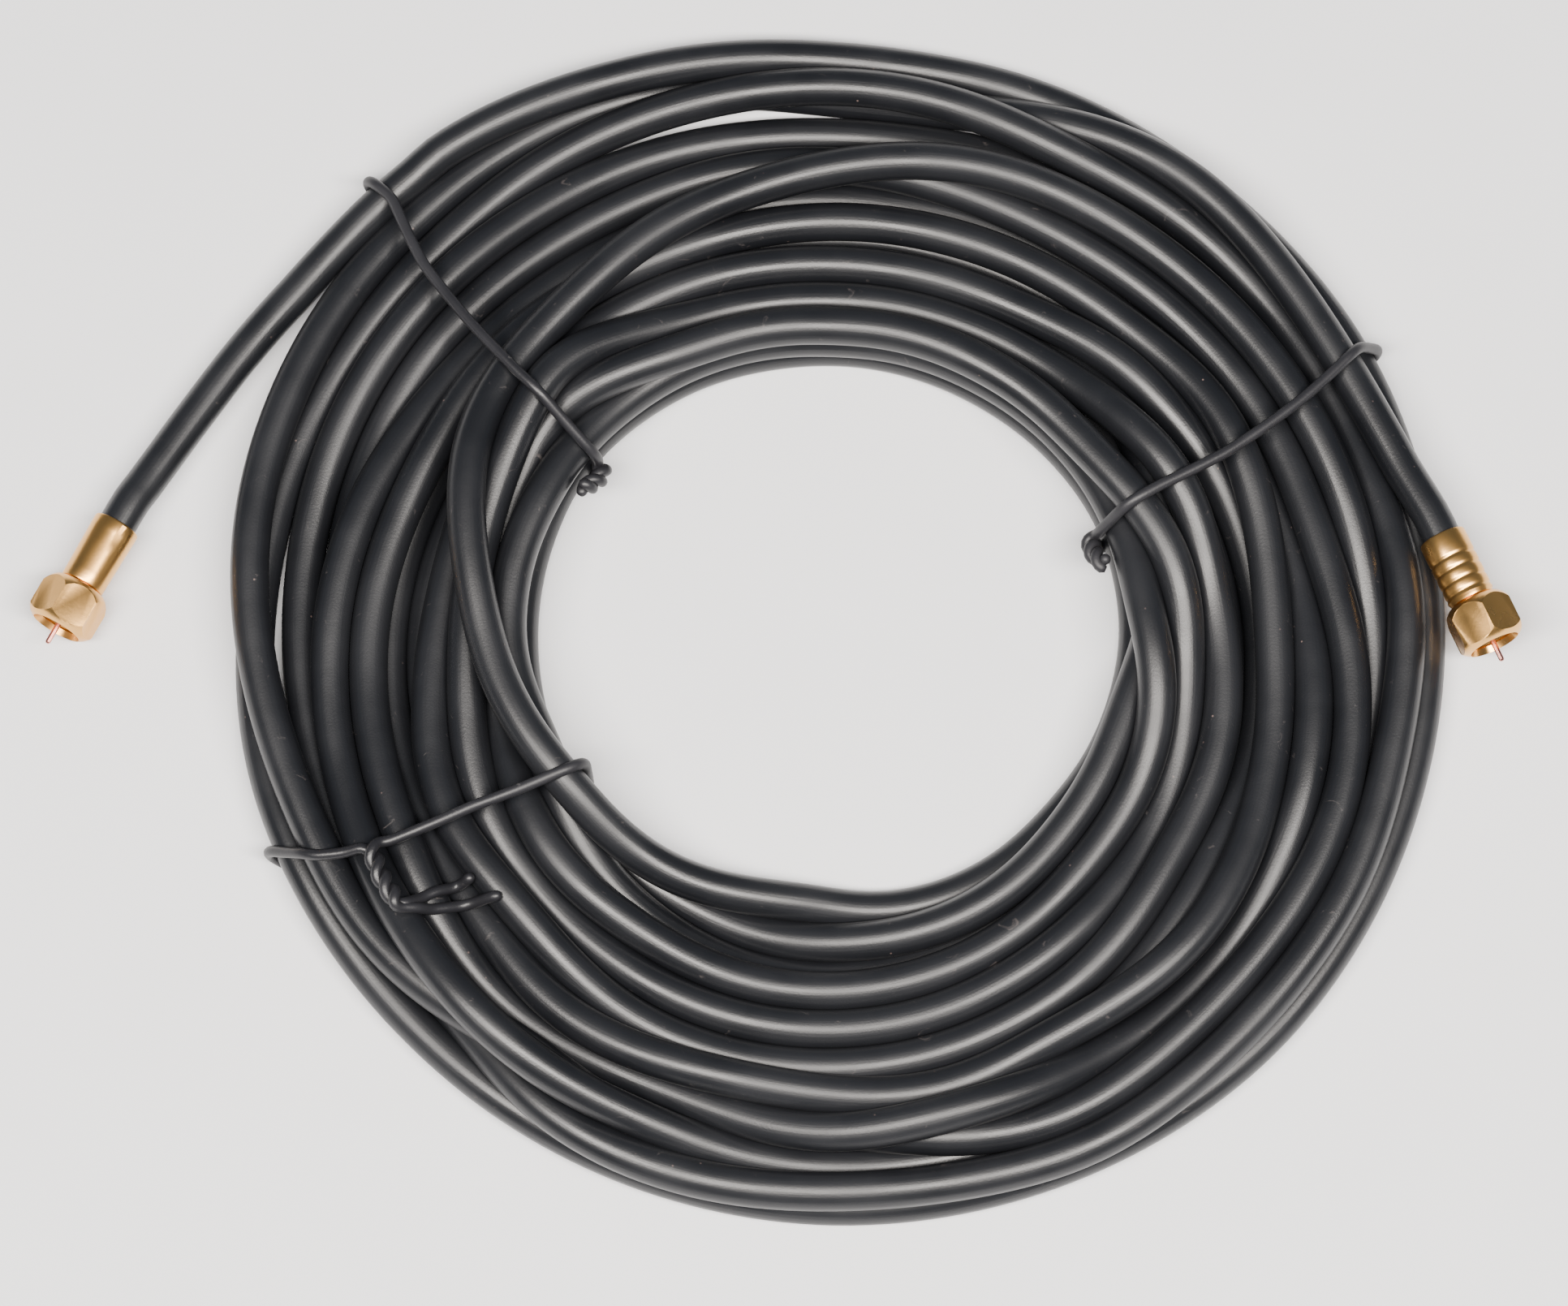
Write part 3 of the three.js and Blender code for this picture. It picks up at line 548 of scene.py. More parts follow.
def tie_loop(name):
    """Points of a tie pulled tight round the band, in order, with the radius and height of its outline."""
    line_radius, line_angle = tie_lines()[name]
    turn = np.linspace(0, 2 * math.pi, OUTLINE_SIDES, endpoint=False)
    reach = (CABLE + TIE) / 2 + TIE_SPARE
    circle = np.stack([np.cos(turn), np.sin(turn)], 1) * reach
    outline = outline_round((tie_section(line_radius, line_angle)[:, None] + circle[None]).reshape(-1, 2))
    outline[:, 1] = np.maximum(outline[:, 1], TIE / 2 + TIE_SPARE)
    outline = even_steps(np.vstack([outline, outline[:1]]), TIE_STEP)[:-1]
    angle = np.radians(np.interp(outline[:, 0], line_radius, line_angle))
    points = np.stack([outline[:, 0] * np.cos(angle), outline[:, 0] * np.sin(angle), outline[:, 1]], 1)
    return points, outline


def twisted_pair(centre, side, pitch):
    """Two strands wound round each other along a centreline, the first of them starting on this side."""
    centre = even_steps(centre, TWIST_STEP)
    tangents = np.gradient(centre, axis=0)
    tangents /= np.linalg.norm(tangents, axis=1)[:, None]
    along = np.arange(len(centre)) * TWIST_STEP
    first = []
    side = np.asarray(side, float)
    for tangent, distance in zip(tangents, along):
        side = side - tangent * (side @ tangent)
        side /= np.linalg.norm(side)
        turned = 2 * math.pi * distance / pitch
        way = side * math.cos(turned) + np.cross(tangent, side) * math.sin(turned)
        first.append(way * TIE / 2 * TWIST_SPREAD)
    first = np.array(first)
    return centre + first, centre - first


def rest_height(place):
    """Height of a tie's centreline where it lies on the turns at this place."""
    line = cable_line()
    reach = (CABLE + TIE) / 2
    square = ((line[:, :2] - place[:2]) ** 2).sum(1)
    near = square < reach**2
    return float((line[near, 2] + np.sqrt(reach**2 - square[near])).max()) if near.any() else TIE / 2


def seen_on_top(angle, radius):
    """Place on top of the turns of what the camera sees at this angle and radius."""
    height = TIE_TOP
    for _ in range(3):
        true_angle, true_radius = place_seen_at(angle, radius, height)
        turned = math.radians(true_angle)
        place = np.array([true_radius * math.cos(turned), true_radius * math.sin(turned), 0.0])
        height = rest_height(place)
    place[2] = height
    return place


def open_loop(points, place, gap):
    """A closed loop opened near a place, its points in order, with this much of it taken out."""
    start = int(np.argmin(np.linalg.norm(points - place, axis=1)))
    turned = np.roll(points, -start, 0)
    cut = round(gap / 2 / TIE_STEP)
    return turned[cut:len(turned) - cut]


def bore_tie(name, tail_way, twists):
    """Line of an upper tie: round the band, its ends twisted together against the bore."""
    loop, outline = tie_loop(name)
    from_bore = outline[:, 0] - outline[:, 0].min()
    from_mid_height = np.abs(outline[:, 1] - outline[:, 1].mean())
    middle = loop[np.argmin(from_mid_height + 10 * from_bore)]
    inwards = -middle / np.hypot(*middle[:2]) * [1, 1, 0]
    sideways = np.cross([0, 0, 1.0], inwards) * tail_way
    centre = round_curve([middle + inwards * reach + sideways * along + [0, 0, up]
                          for reach, along, up in PIGTAIL], CURVE_PARTS)
    loop = open_loop(loop, middle, TWIST_GAP)
    over = loop[0, 2] > loop[-1, 2]
    first, second = twisted_pair(centre, (0, 0, 1), TWIST_PITCH / twists)
    if not over:
        first, second = second, first
    return np.vstack([first[::-1], loop, second])


def top_tie(name):
    """Line of the lower-left tie: round the band, its ends twisted on top and lying free."""
    loop, _ = tie_loop(name)
    knot = [seen_on_top(angle, radius) for angle, radius in TOP_TWIST]
    knot = np.array(knot) + [0, 0, KNOT_LIFT]
    loop = open_loop(loop, knot[0], TWIST_GAP)
    outward = loop[0] - loop[-1]
    first, second = twisted_pair(round_curve(knot, CURVE_PARTS), outward, TWIST_PITCH)
    ends = []
    for strand, route in ((first, TOP_ENDS[0]), (second, TOP_ENDS[1])):
        route_points = [seen_on_top(angle, radius) for angle, radius in route]
        free = even_steps(np.vstack([strand[-1], route_points]), TIE_STEP)
        free[1:, 2] = [rest_height(place) for place in free[1:]]
        ends.append(np.vstack([strand, eased(free, FREE_END_EASE)[1:]]))
    return np.vstack([ends[0][::-1], loop, ends[1]])


# Solids made by hand tools
def turned_solid(name, profile, sides):
    """Closed solid turned on the Z axis: a disc drawn out from one (height, radius) to the next."""
    bpy.ops.object.select_all(action="DESELECT")
    height, radius = profile[0]
    bpy.ops.mesh.primitive_circle_add(vertices=sides, radius=radius * MM, fill_type="NGON",
                                      location=(0, 0, height * MM))
    piece = bpy.context.active_object
    piece.name = piece.data.name = name
    bpy.ops.object.transform_apply(location=True, rotation=True, scale=True)
    bpy.ops.object.mode_set(mode="EDIT")
    bpy.ops.mesh.select_all(action="SELECT")
    for next_height, next_radius in profile[1:]:
        bpy.ops.mesh.extrude_region_move(
            TRANSFORM_OT_translate={"value": (0, 0, (next_height - height) * MM)})
        growth = next_radius / radius
        bpy.ops.transform.resize(value=(growth, growth, 1), center_override=(0, 0, next_height * MM))
        height, radius = next_height, next_radius
    bpy.ops.mesh.select_all(action="SELECT")
    bpy.ops.mesh.normals_make_consistent(inside=False)
    bpy.ops.object.mode_set(mode="OBJECT")
    return piece


def cut_with(piece, tool, operation):
    """Keeps or takes away what a tool solid shares with the piece, then removes the tool."""
    select_alone(piece)
    cut = piece.modifiers.new("cut", "BOOLEAN")
    cut.operation = operation
    cut.solver = "EXACT"
    cut.object = tool
    bpy.ops.object.modifier_apply(modifier=cut.name)
    bpy.data.objects.remove(tool)


def round_edges(piece, width, segments):
    """Rounds the sharp edges of a piece."""
    select_alone(piece)
    edges = piece.modifiers.new("edges", "BEVEL")
    edges.width = width * MM
    edges.segments = segments
    edges.limit_method = "ANGLE"
    edges.angle_limit = SHARP_EDGE
    edges.harden_normals = False
    bpy.ops.object.modifier_apply(modifier=edges.name)


def set_in_place(piece, mouth, turn=0.0):
    """Lays a piece made on the Z axis along a connector, turned about its own axis, and shades it."""
    place, way = mouth_frame(mouth)
    up = Vector((0, 0, 1))
    forward = Vector(way)
    axes = Matrix((up.cross(forward), up, forward)).transposed().to_4x4()
    select_alone(piece)
    piece.matrix_world = (Matrix.Translation(Vector(row_frame(place))) @ axes
                          @ Matrix.Rotation(math.radians(turn), 4, "Z"))
    bpy.ops.object.transform_apply(location=True, rotation=True, scale=True)
    bpy.ops.object.shade_smooth_by_angle(angle=SMOOTH_EDGE)


def press_dimple(piece, angle, height, radius, depth, size):
    """Presses a soft round dent into a sleeve that stands on the Z axis."""
    turned = math.radians(angle)
    centre = Vector((math.cos(turned) * radius, math.sin(turned) * radius, height)) * MM
    inwards = Vector((-math.cos(turned), -math.sin(turned), 0))
    for point in piece.data.vertices:
        away = (point.co - centre).length / (size * MM)
        point.co += inwards * depth * MM * math.exp(-away * away)


def sleeve_profile(settings, rings):
    """Profile of a crimped sleeve with its socket, neck and inner flange."""
    socket = settings.diameter / 2 / MM + SOCKET_SPARE
    outer = settings.sleeve / 2 / MM
    profile = [(SOCKET_DEPTH, socket), (SOCKET_LEAD, socket), (0.0, socket + SOCKET_FLARE),
               (0.0, outer - SLEEVE_EDGE), (0.12, outer - 0.12), (0.4, outer)]
    for middle in rings:
        profile += [(middle + reach, outer - depth) for reach, depth in RING_GROOVE]
    for step in range(1, 7):
        height = profile[-1][0] + (SLEEVE_LENGTH - 0.5 - profile[-1][0]) / (7 - step)
        profile.append((height, outer - WAIST * step / 6))
    profile += [(SLEEVE_LENGTH - 0.2, outer - WAIST - 0.1), (SLEEVE_LENGTH, outer - WAIST - SLEEVE_EDGE),
                (SLEEVE_LENGTH, NECK / 2), (FLANGE_AT, NECK / 2), (FLANGE_AT, FLANGE / 2 - FLANGE_EDGE),
                (FLANGE_AT + FLANGE_EDGE, FLANGE / 2),
                (FLANGE_AT + FLANGE_THICKNESS - FLANGE_EDGE, FLANGE / 2),
                (FLANGE_AT + FLANGE_THICKNESS, FLANGE / 2 - FLANGE_EDGE)]
    return profile


def make_nut(name, flats):
    """Hexagon nut on the Z axis: chamfered corners, rounded edges, a threaded bore and a back wall."""
    across_corners = flats / math.cos(math.pi / 6)
    bpy.ops.object.select_all(action="DESELECT")
    bpy.ops.mesh.primitive_cylinder_add(vertices=6, radius=across_corners / 2 * MM, depth=NUT_LENGTH * MM,
                                        location=(0, 0, (NUT_AT + NUT_LENGTH / 2) * MM))
    nut = bpy.context.active_object
    nut.name = nut.data.name = name
    bpy.ops.object.transform_apply(location=True, rotation=True, scale=True)
    front, back = NUT_AT + NUT_LENGTH, NUT_AT
    blank = [(back + reach, flats / 2 + beyond) for reach, beyond in NUT_BACK_CURVE]
    blank += [(front - reach, flats / 2 + beyond) for reach, beyond in NUT_FRONT_CURVE]
    cut_with(nut, turned_solid("nut_blank", blank, BLANK_SIDES), "INTERSECT")
    round_edges(nut, NUT_EDGE, NUT_EDGE_PARTS)
    hole, bore_radius, mouth = NECK / 2 + NECK_SPARE, NUT_BORE / 2, NUT_BORE / 2 + MOUTH_SPARE
    bore = [(back - 1, hole), (back + NUT_BACK_WALL, hole), (back + NUT_BACK_WALL, bore_radius)]
    height = back + NUT_BACK_WALL + 0.6
    while height < front - 0.9:
        bore += [(height, bore_radius), (height + THREAD_PITCH / 2, bore_radius - THREAD_DEPTH)]
        height += THREAD_PITCH
    bore += [(front - 0.5, bore_radius), (front + 0.02, mouth), (front + 1, mouth)]
    cut_with(nut, turned_solid("nut_bore", bore, BORE_SIDES), "DIFFERENCE")
    return nut


# Materials
def link(tree, *pairs):
    """Joins sockets, given as pairs of an output and an input."""
    for output, socket in pairs:
        tree.links.new(output, socket)


def add_node(tree, kind, values=None, **settings):
    """Node of this kind with its settings, and with values for its named inputs."""
    node = tree.nodes.new(kind)
    for setting, value in settings.items():
        setattr(node, setting, value)
    for socket, value in (values or {}).items():
        node.inputs[socket].default_value = value
    return node


def ramp(tree, factor, stops):
    """Output of a colour ramp that a factor drives, from stops of (position, grey)."""
    node = add_node(tree, "ShaderNodeValToRGB")
    elements = node.color_ramp.elements
    while len(elements) < len(stops):
        elements.new(0.5)
    for element, (position, grey) in zip(elements, stops):
        element.position = position
        element.color = (grey, grey, grey, 1)
    link(tree, (factor, node.inputs["Fac"]))
    return node.outputs["Color"]


def mixed(tree, factor, first, second):
    """Colour mixed from two by a factor; each colour is a socket or a plain colour."""
    node = add_node(tree, "ShaderNodeMix", data_type="RGBA")
    link(tree, (factor, node.inputs["Factor"]))
    for socket, colour in ((node.inputs["A"], first), (node.inputs["B"], second)):
        if isinstance(colour, bpy.types.NodeSocket):
            link(tree, (colour, socket))
        else:
            socket.default_value = (*colour, 1)
    return node.outputs["Result"]


@functools.lru_cache(maxsize=1)
def wear_group():
    """Node group for handled surfaces: fine grain, soft patches, scuffs and dust specks."""
    tree = bpy.data.node_groups.new("handled_surface", "ShaderNodeTree")
    tree.interface.new_socket("Place", in_out="INPUT", socket_type="NodeSocketVector")
    for name, default in (("Grain Scale", 2500.0), ("Scuff Scale", 260.0), ("Speck Scale", 420.0)):
        socket = tree.interface.new_socket(name, in_out="INPUT", socket_type="NodeSocketFloat")
        socket.default_value = default
    for name in ("Grain", "Patches", "Scuffs", "Specks"):
        tree.interface.new_socket(name, in_out="OUTPUT", socket_type="NodeSocketFloat")
    given = add_node(tree, "NodeGroupInput").outputs
    result = add_node(tree, "NodeGroupOutput").inputs
    grain = add_node(tree, "ShaderNodeTexNoise", {"Detail": 3.0, "Roughness": 0.6})
    patches = add_node(tree, "ShaderNodeTexNoise", {"Scale": 38.0, "Detail": 4.0, "Roughness": 0.55})
    scuffs = add_node(tree, "ShaderNodeTexNoise", {"Detail": 5.0, "Roughness": 0.65, "Distortion": 1.2})
    cells = add_node(tree, "ShaderNodeTexVoronoi", {"Randomness": 1.0})
    spread = add_node(tree, "ShaderNodeTexNoise", {"Scale": 90.0, "Detail": 2.0})
    for node in (grain, patches, scuffs, cells, spread):
        link(tree, (given["Place"], node.inputs["Vector"]))
    link(tree, (given["Grain Scale"], grain.inputs["Scale"]), (given["Scuff Scale"], scuffs.inputs["Scale"]),
         (given["Speck Scale"], cells.inputs["Scale"]))
    speck = ramp(tree, cells.outputs["Distance"], [(0.04, 1), (0.10, 0)])
    where = ramp(tree, spread.outputs["Fac"], [(0.60, 0), (0.70, 1)])
    both = add_node(tree, "ShaderNodeMath", operation="MULTIPLY")
    link(tree, (speck, both.inputs[0]), (where, both.inputs[1]))
    link(tree, (grain.outputs["Fac"], result["Grain"]),
         (ramp(tree, patches.outputs["Fac"], [(0.35, 0), (0.65, 1)]), result["Patches"]),
         (ramp(tree, scuffs.outputs["Fac"], [(0.66, 0), (0.80, 1)]), result["Scuffs"]),
         (both.outputs[0], result["Specks"]))
    return tree


def start_material(name):
    """New material with its node tree, its shader and a handled-surface group on object coordinates."""
    material = bpy.data.materials.new(name)
    material.use_nodes = True
    tree = material.node_tree
    shader = tree.nodes["Principled BSDF"]
    place = add_node(tree, "ShaderNodeTexCoord").outputs["Object"]
    wear = add_node(tree, "ShaderNodeGroup", node_tree=wear_group())
    link(tree, (place, wear.inputs["Place"]))
    return material, tree, shader, wear


def roughness_between(tree, shader, factor, low, high):
    """Roughness that runs between two values with a factor."""
    spread = add_node(tree, "ShaderNodeMapRange", {"To Min": low, "To Max": high})
    link(tree, (factor, spread.inputs["Value"]), (spread.outputs["Result"], shader.inputs["Roughness"]))


def bumped(tree, shader, height, distance, strength):
    """Surface relief from a height, in metres."""
    bump = add_node(tree, "ShaderNodeBump", {"Distance": distance, "Strength": strength})
    link(tree, (height, bump.inputs["Height"]), (bump.outputs["Normal"], shader.inputs["Normal"]))


def summed(tree, first, second, share):
    """First factor plus a share of the second."""
    node = add_node(tree, "ShaderNodeMath", operation="MULTIPLY_ADD")
    node.inputs[1].default_value = share
    link(tree, (second, node.inputs[0]), (first, node.inputs[2]))
    return node.outputs[0]


def coloured(tree, shader, wear, base, layers):
    """Base colour built up from one colour by others, each laid over it by an output of the wear group."""
    for factor, colour in layers:
        base = mixed(tree, wear.outputs[factor], base, colour)
    link(tree, (base, shader.inputs["Base Color"]))


def jacket_material(colour):
    """Semi-gloss black plastic sheath with drawn lines along it, dull patches, scuffs and specks of dust."""
    material, tree, shader, wear = start_material("jacket_plastic")
    skin = add_node(tree, "ShaderNodeUVMap", uv_map="skin").outputs["UV"]
    stretch = add_node(tree, "ShaderNodeMapping")
    stretch.inputs["Scale"].default_value = (34.0, 30.0, 1.0)
    lines = add_node(tree, "ShaderNodeTexNoise", {"Scale": 1.0, "Detail": 3.0, "Roughness": 0.5})
    link(tree, (skin, stretch.inputs["Vector"]), (stretch.outputs["Vector"], lines.inputs["Vector"]))
    outputs = wear.outputs
    coloured(tree, shader, wear, tuple(colour), [
        ("Patches", tuple(c * 1.4 + 0.001 for c in colour)),
        ("Scuffs", (0.060, 0.052, 0.050)), ("Specks", (0.135, 0.095, 0.085))])
    roughness_between(tree, shader, summed(tree, outputs["Patches"], outputs["Scuffs"], 0.8), 0.33, 0.45)
    bumped(tree, shader, summed(tree, outputs["Grain"], lines.outputs["Fac"], 1.6), 0.00004, 0.55)
    shader.inputs["Specular IOR Level"].default_value = 0.5
    return material


def plating_material(colour):
    """Gold-coloured plating, a little dulled by handling, with fine scratches."""
    material, tree, shader, wear = start_material("gold_plating")
    wear.inputs["Grain Scale"].default_value = 1500.0
    wear.inputs["Scuff Scale"].default_value = 480.0
    outputs = wear.outputs
    coloured(tree, shader, wear, tuple(colour), [
        ("Patches", (0.72, 0.38, 0.11)), ("Scuffs", (0.50, 0.27, 0.10))])
    roughness_between(tree, shader, summed(tree, outputs["Patches"], outputs["Scuffs"], 0.7), 0.24, 0.38)
    bumped(tree, shader, outputs["Grain"], 0.00003, 0.4)
    shader.inputs["Metallic"].default_value = 1.0
    return material


def conductor_material():
    """Bare copper wire, pinkish, with fine grain and darker tarnish."""
    material, tree, shader, wear = start_material("copper_wire")
    wear.inputs["Grain Scale"].default_value = 3200.0
    outputs = wear.outputs
    coloured(tree, shader, wear, (0.78, 0.36, 0.29), [
        ("Patches", (0.66, 0.28, 0.23)), ("Scuffs", (0.40, 0.19, 0.15))])
    roughness_between(tree, shader, outputs["Patches"], 0.25, 0.4)
    bumped(tree, shader, outputs["Grain"], 0.00003, 0.4)
    shader.inputs["Metallic"].default_value = 1.0
    return material


def dielectric_material():
    """White foamed plastic with a fine grain on its cut face."""
    material, tree, shader, wear = start_material("foam_dielectric")
    wear.inputs["Grain Scale"].default_value = 3600.0
    outputs = wear.outputs
    coloured(tree, shader, wear, (0.80, 0.78, 0.73), [
        ("Grain", (0.62, 0.60, 0.55)), ("Scuffs", (0.45, 0.40, 0.32))])
    roughness_between(tree, shader, outputs["Grain"], 0.55, 0.75)
    bumped(tree, shader, outputs["Grain"], 0.0001, 0.5)
    return material


def tie_material(colour):
    """Soft black plastic on a wire, rubbed a little lighter in places."""
    material, tree, shader, wear = start_material("tie_plastic")
    outputs = wear.outputs
    coloured(tree, shader, wear, tuple(colour), [
        ("Patches", tuple(c * 1.5 + 0.002 for c in colour)), ("Scuffs", (0.085, 0.082, 0.080))])
    roughness_between(tree, shader, summed(tree, outputs["Patches"], outputs["Scuffs"], 0.6), 0.38, 0.55)
    bumped(tree, shader, outputs["Grain"], 0.00005, 0.6)
    return material


def floor_material(colour):
    """Pale matt floor with a barely seen unevenness."""
    material, tree, shader, wear = start_material("pale_floor")
    coloured(tree, shader, wear, tuple(colour), [("Patches", tuple(c * 0.985 for c in colour))])
    roughness_between(tree, shader, wear.outputs["Grain"], 0.75, 0.85)
    return material


def dress(piece, material):
    """Gives a piece this one material."""
    piece.data.materials.clear()
    piece.data.materials.append(material)


# Settings
class CABLECOIL_PG_cable(bpy.types.PropertyGroup):
    """Cable and the sleeves crimped on it"""
    diameter: FloatProperty(name="Cable Diameter", description="Diameter over the jacket",
                            default=CABLE * MM, unit="LENGTH", precision=4)
    length: FloatProperty(name="Cable Length", description="Length of cable between the connectors",
                          default=7.62, unit="LENGTH")
    sides: IntProperty(name="Sides", description="Faces round the cable", default=20, min=8, max=24)
    colour: FloatVectorProperty(name="Jacket Colour", description="Base colour of the jacket", subtype="COLOR",
                                size=3, min=0, max=1, default=(0.0055, 0.006, 0.0075))
    sleeve: FloatProperty(name="Sleeve Diameter", description="Diameter over a crimped sleeve",
                          default=0.0086, unit="LENGTH", precision=4)


class CABLECOIL_PG_fittings(bpy.types.PropertyGroup):
    """Connectors and ties"""
    flats: FloatProperty(name="Nut Across Flats", description="Width of a coupling nut across its flats",
                         default=0.0111, unit="LENGTH", precision=4)
    plating: FloatVectorProperty(name="Plating Colour", description="Colour of the connectors' plating",
                                 subtype="COLOR", size=3, min=0, max=1, default=(0.84, 0.48, 0.16))
    tie: FloatProperty(name="Tie Diameter", description="Diameter of a coated wire tie",
                       default=TIE * MM, unit="LENGTH", precision=4)
    tie_colour: FloatVectorProperty(name="Tie Colour", description="Base colour of the ties", subtype="COLOR",
                                    size=3, min=0, max=1, default=(0.009, 0.009, 0.011))


class CABLECOIL_PG_stage(bpy.types.PropertyGroup):
    """Floor and lights"""
    floor: FloatVectorProperty(name="Floor Colour", description="Colour of the floor", subtype="COLOR",
                               size=3, min=0, max=1, default=(0.74, 0.75, 0.77))
    key_power: FloatProperty(name="Key Power", description="Power of the long soft light overhead",
                             default=58.0, unit="POWER")
    fill: FloatProperty(name="Fill", description="Strength of the light from all round", default=0.17, min=0)


# Operators
class CABLECOIL_OT_stage(bpy.types.Operator):
    """Sets up the floor, the soft lights and the camera"""
    bl_idname = "cable_coil.stage"
    bl_label = "Set Stage"

    def execute(self, context):
        settings = context.scene.cable_coil_stage
        middle = Vector((COIL_MIDDLE_X - COIL_RIGHT_OF_MIDDLE, 0, VIEW_HEIGHT)) * MM
        down = Vector((0, -math.cos(VIEW_TILT), -math.sin(VIEW_TILT)))
        middle += down * COIL_ABOVE_MIDDLE * MM
        back = Vector((0, -math.sin(VIEW_TILT), math.cos(VIEW_TILT)))
        lens = SENSOR * VIEW_DISTANCE * PICTURE_SCALE / PICTURE_WIDTH
        bpy.ops.object.camera_add(location=middle + back * VIEW_DISTANCE * MM, rotation=(VIEW_TILT, 0, 0))
        camera = context.active_object
        camera.data.sensor_width = SENSOR
        camera.data.lens = lens
        context.scene.camera = camera

        bpy.ops.object.select_all(action="DESELECT")
        bpy.ops.mesh.primitive_plane_add(size=FLOOR_SIZE)
        floor = context.active_object
        floor.name = "floor"
        dress(floor, floor_material(settings.floor))

        world = bpy.data.worlds.new("soft_room")
        world.use_nodes = True
        background = world.node_tree.nodes["Background"].inputs
        background["Color"].default_value = FILL_COLOUR
        background["Strength"].default_value = settings.fill
        context.scene.world = world

        lean = math.radians(KEY_LEAN)
        reach = KEY_DISTANCE * MM
        bpy.ops.object.light_add(type="AREA", rotation=(lean, 0, 0),
                                 location=(0, -math.sin(lean) * reach, math.cos(lean) * reach))
        key = context.active_object.data
        key.shape = "RECTANGLE"
        key.size, key.size_y = KEY_LONG * MM, KEY_WIDE * MM
        key.energy = settings.key_power
        key.color = KEY_COLOUR
        return {"FINISHED"}


class CABLECOIL_OT_connectors(bpy.types.Operator):
    """Makes both connectors: sleeve, coupling nut, and finishes for the wire and the foam inside"""
    bl_idname = "cable_coil.connectors"
    bl_label = "Make Connectors"

    def execute(self, context):
        cable, fittings = context.scene.cable_coil_cable, context.scene.cable_coil_fittings
        plating = plating_material(fittings.plating)
        copper, foam = conductor_material(), dielectric_material()
        ends = (("left", LEFT_MOUTH, LEFT_NUT_TURN, ()), ("right", RIGHT_MOUTH, 0, CRIMP_RINGS))
        for side, mouth, turn, rings in ends:
            sleeve = turned_solid(f"crimped_sleeve_{side}", sleeve_profile(cable, rings), SLEEVE_SIDES)
            for angle, height, depth, size in DIMPLES[side]:
                press_dimple(sleeve, angle, height, cable.sleeve / 2 / MM, depth, size)
            set_in_place(sleeve, mouth)
            dress(sleeve, plating)
            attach(sleeve, "coil")
            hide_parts(f"connector_body_{side}")

            nut = make_nut(f"hexagon_nut_{side}", fittings.flats / MM)
            set_in_place(nut, mouth, turn)
            dress(nut, plating)
            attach(nut, f"nut_{side}")
            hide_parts(f"coupling_nut_{side}")

            dress(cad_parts[f"centre_conductor_{side}"], copper)
            dress(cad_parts[f"dielectric_{side}"], foam)
        return {"FINISHED"}


class CABLECOIL_OT_cable(bpy.types.Operator):
    """Lays the whole cable in its turns, from one connector to the other"""
    bl_idname = "cable_coil.cable"
    bl_label = "Lay Cable"

    def execute(self, context):
        settings = context.scene.cable_coil_cable
        line = row_frame(cable_line())
        mesh = tube_mesh("coiled_cable", line, settings.diameter / 2, settings.sides)
        cable = new_object("coiled_cable", mesh)
        dress(cable, jacket_material(settings.colour))
        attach(cable, "coil")
        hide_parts("cable_coil", "cable_tail_left", "cable_tail_right")
        on_it = [bpy.data.objects[f"{piece}_{side}"] for piece in ("crimped_sleeve", "hexagon_nut")
                 for side in ("left", "right")]
        on_it += [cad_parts[f"{piece}_{side}"] for piece in ("centre_conductor", "dielectric")
                  for side in ("left", "right")]
        return {"FINISHED"}


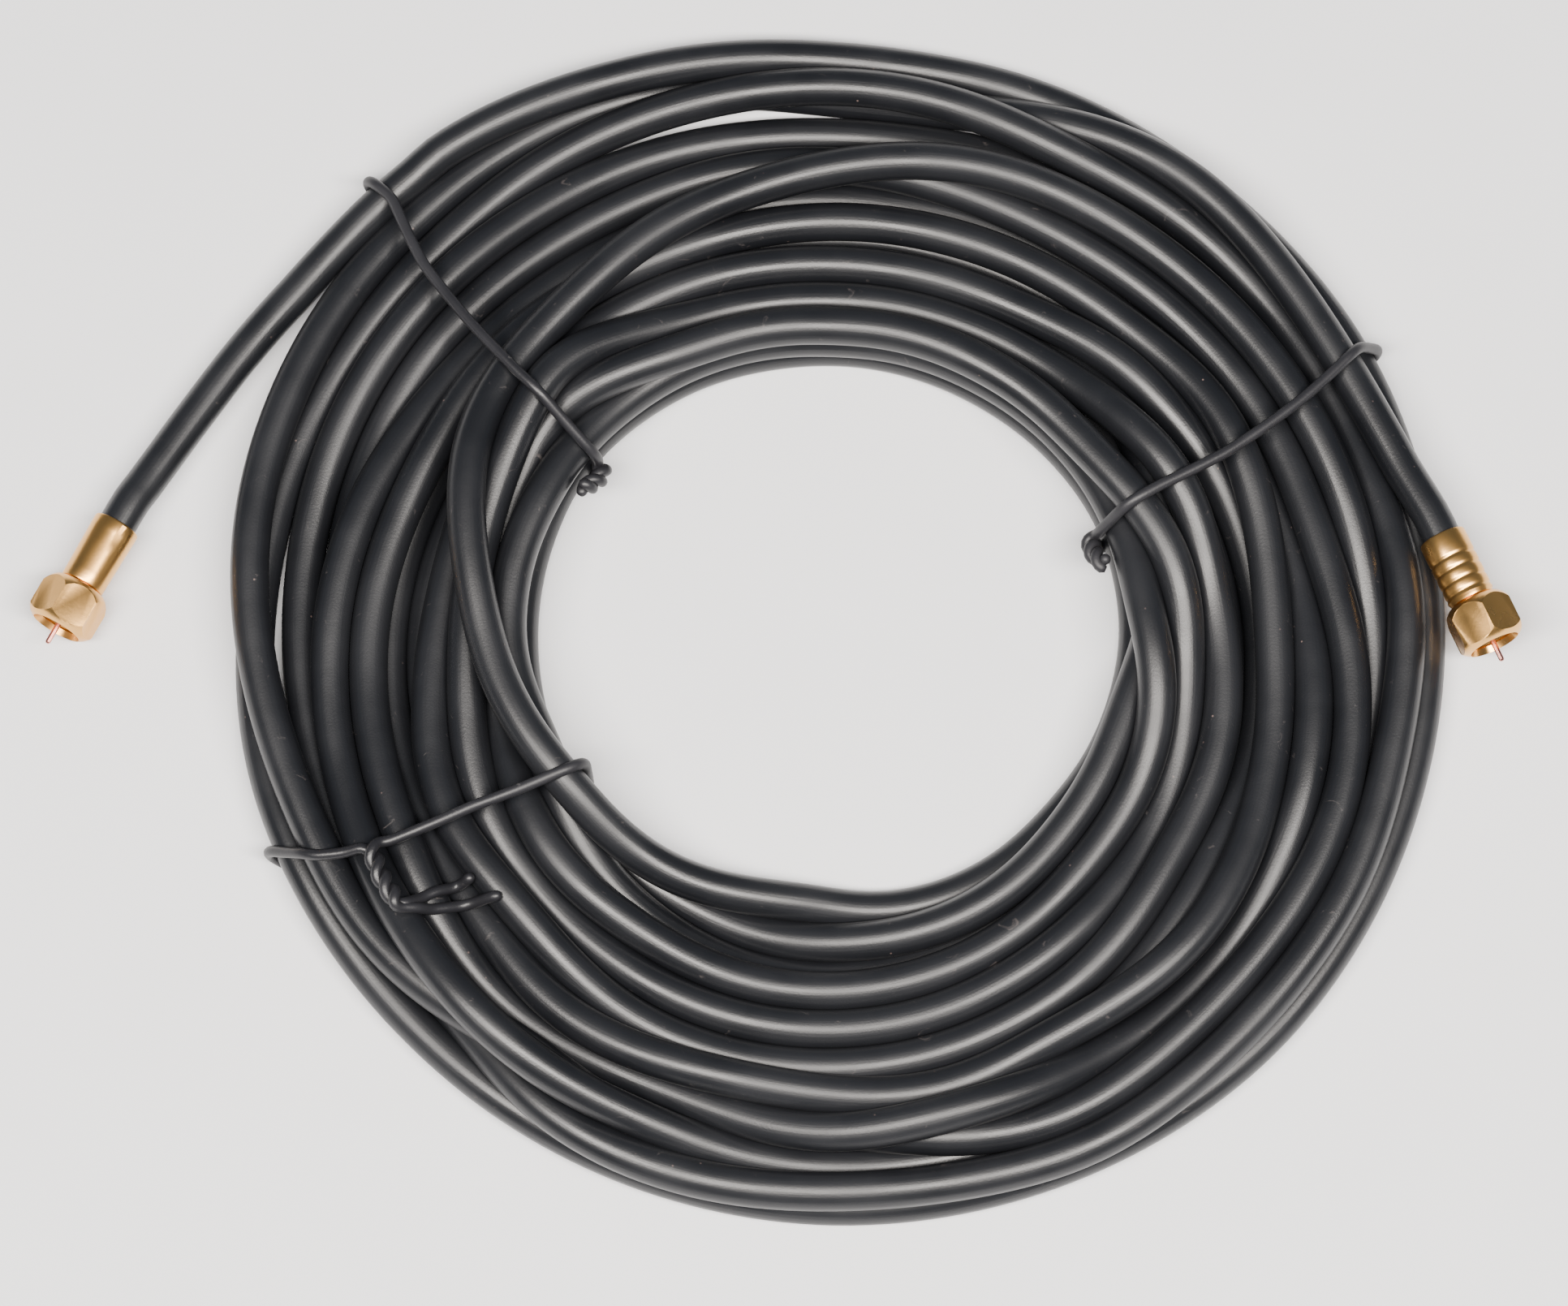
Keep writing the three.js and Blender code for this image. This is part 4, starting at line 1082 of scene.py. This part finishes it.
class CABLECOIL_OT_ties(bpy.types.Operator):
    """Wraps the three wire ties round the band and twists their ends"""
    bl_idname = "cable_coil.ties"
    bl_label = "Wrap Ties"

    def execute(self, context):
        settings = context.scene.cable_coil_fittings
        material = tie_material(settings.tie_colour)
        lines = {"tie_upper_left": bore_tie("tie_upper_left", -1, UPPER_TWISTS),
                 "tie_upper_right": bore_tie("tie_upper_right", 1, UPPER_TWISTS),
                 "tie_lower_left": top_tie("tie_lower_left")}
        for name, line in lines.items():
            line = eased(even_steps(line, TIE_STEP), TIE_EASE)
            ends = np.ones(len(line))
            ends[[0, -1]] = TIE_END_SHARE
            mesh = tube_mesh(f"{name}_wire", row_frame(line), settings.tie / 2 * ends, TIE_SIDES)
            tie = new_object(f"{name}_wire", mesh)
            dress(tie, material)
            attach(tie, "coil")
            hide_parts(name)
        return {"FINISHED"}


class CABLECOIL_PT_panel(bpy.types.Panel):
    """Settings and steps of the cable coil"""
    bl_idname = "CABLECOIL_PT_panel"
    bl_label = "Cable Coil"
    bl_space_type = "VIEW_3D"
    bl_region_type = "UI"
    bl_category = "Cable Coil"

    def draw(self, context):
        for group in (context.scene.cable_coil_stage, context.scene.cable_coil_cable,
                      context.scene.cable_coil_fittings):
            box = self.layout.box()
            for name in group.__annotations__:
                box.prop(group, name)
        for step in STEPS:
            self.layout.operator(step.bl_idname)


STEPS = (CABLECOIL_OT_stage, CABLECOIL_OT_connectors, CABLECOIL_OT_cable, CABLECOIL_OT_ties)
SETTINGS = {
    "cable_coil_stage": CABLECOIL_PG_stage,
    "cable_coil_cable": CABLECOIL_PG_cable,
    "cable_coil_fittings": CABLECOIL_PG_fittings,
}


def register():
    for group in SETTINGS.values():
        bpy.utils.register_class(group)
    for name, group in SETTINGS.items():
        setattr(bpy.types.Scene, name, PointerProperty(type=group))
    for step in STEPS:
        bpy.utils.register_class(step)
    bpy.utils.register_class(CABLECOIL_PT_panel)


def unregister():
    bpy.utils.unregister_class(CABLECOIL_PT_panel)
    for step in reversed(STEPS):
        bpy.utils.unregister_class(step)
    for name in SETTINGS:
        delattr(bpy.types.Scene, name)
    for group in SETTINGS.values():
        bpy.utils.unregister_class(group)


def main():
    register()
    bpy.ops.cable_coil.stage()
    bpy.ops.cable_coil.connectors()
    bpy.ops.cable_coil.cable()
    bpy.ops.cable_coil.ties()


if __name__ == "__main__":
    main()
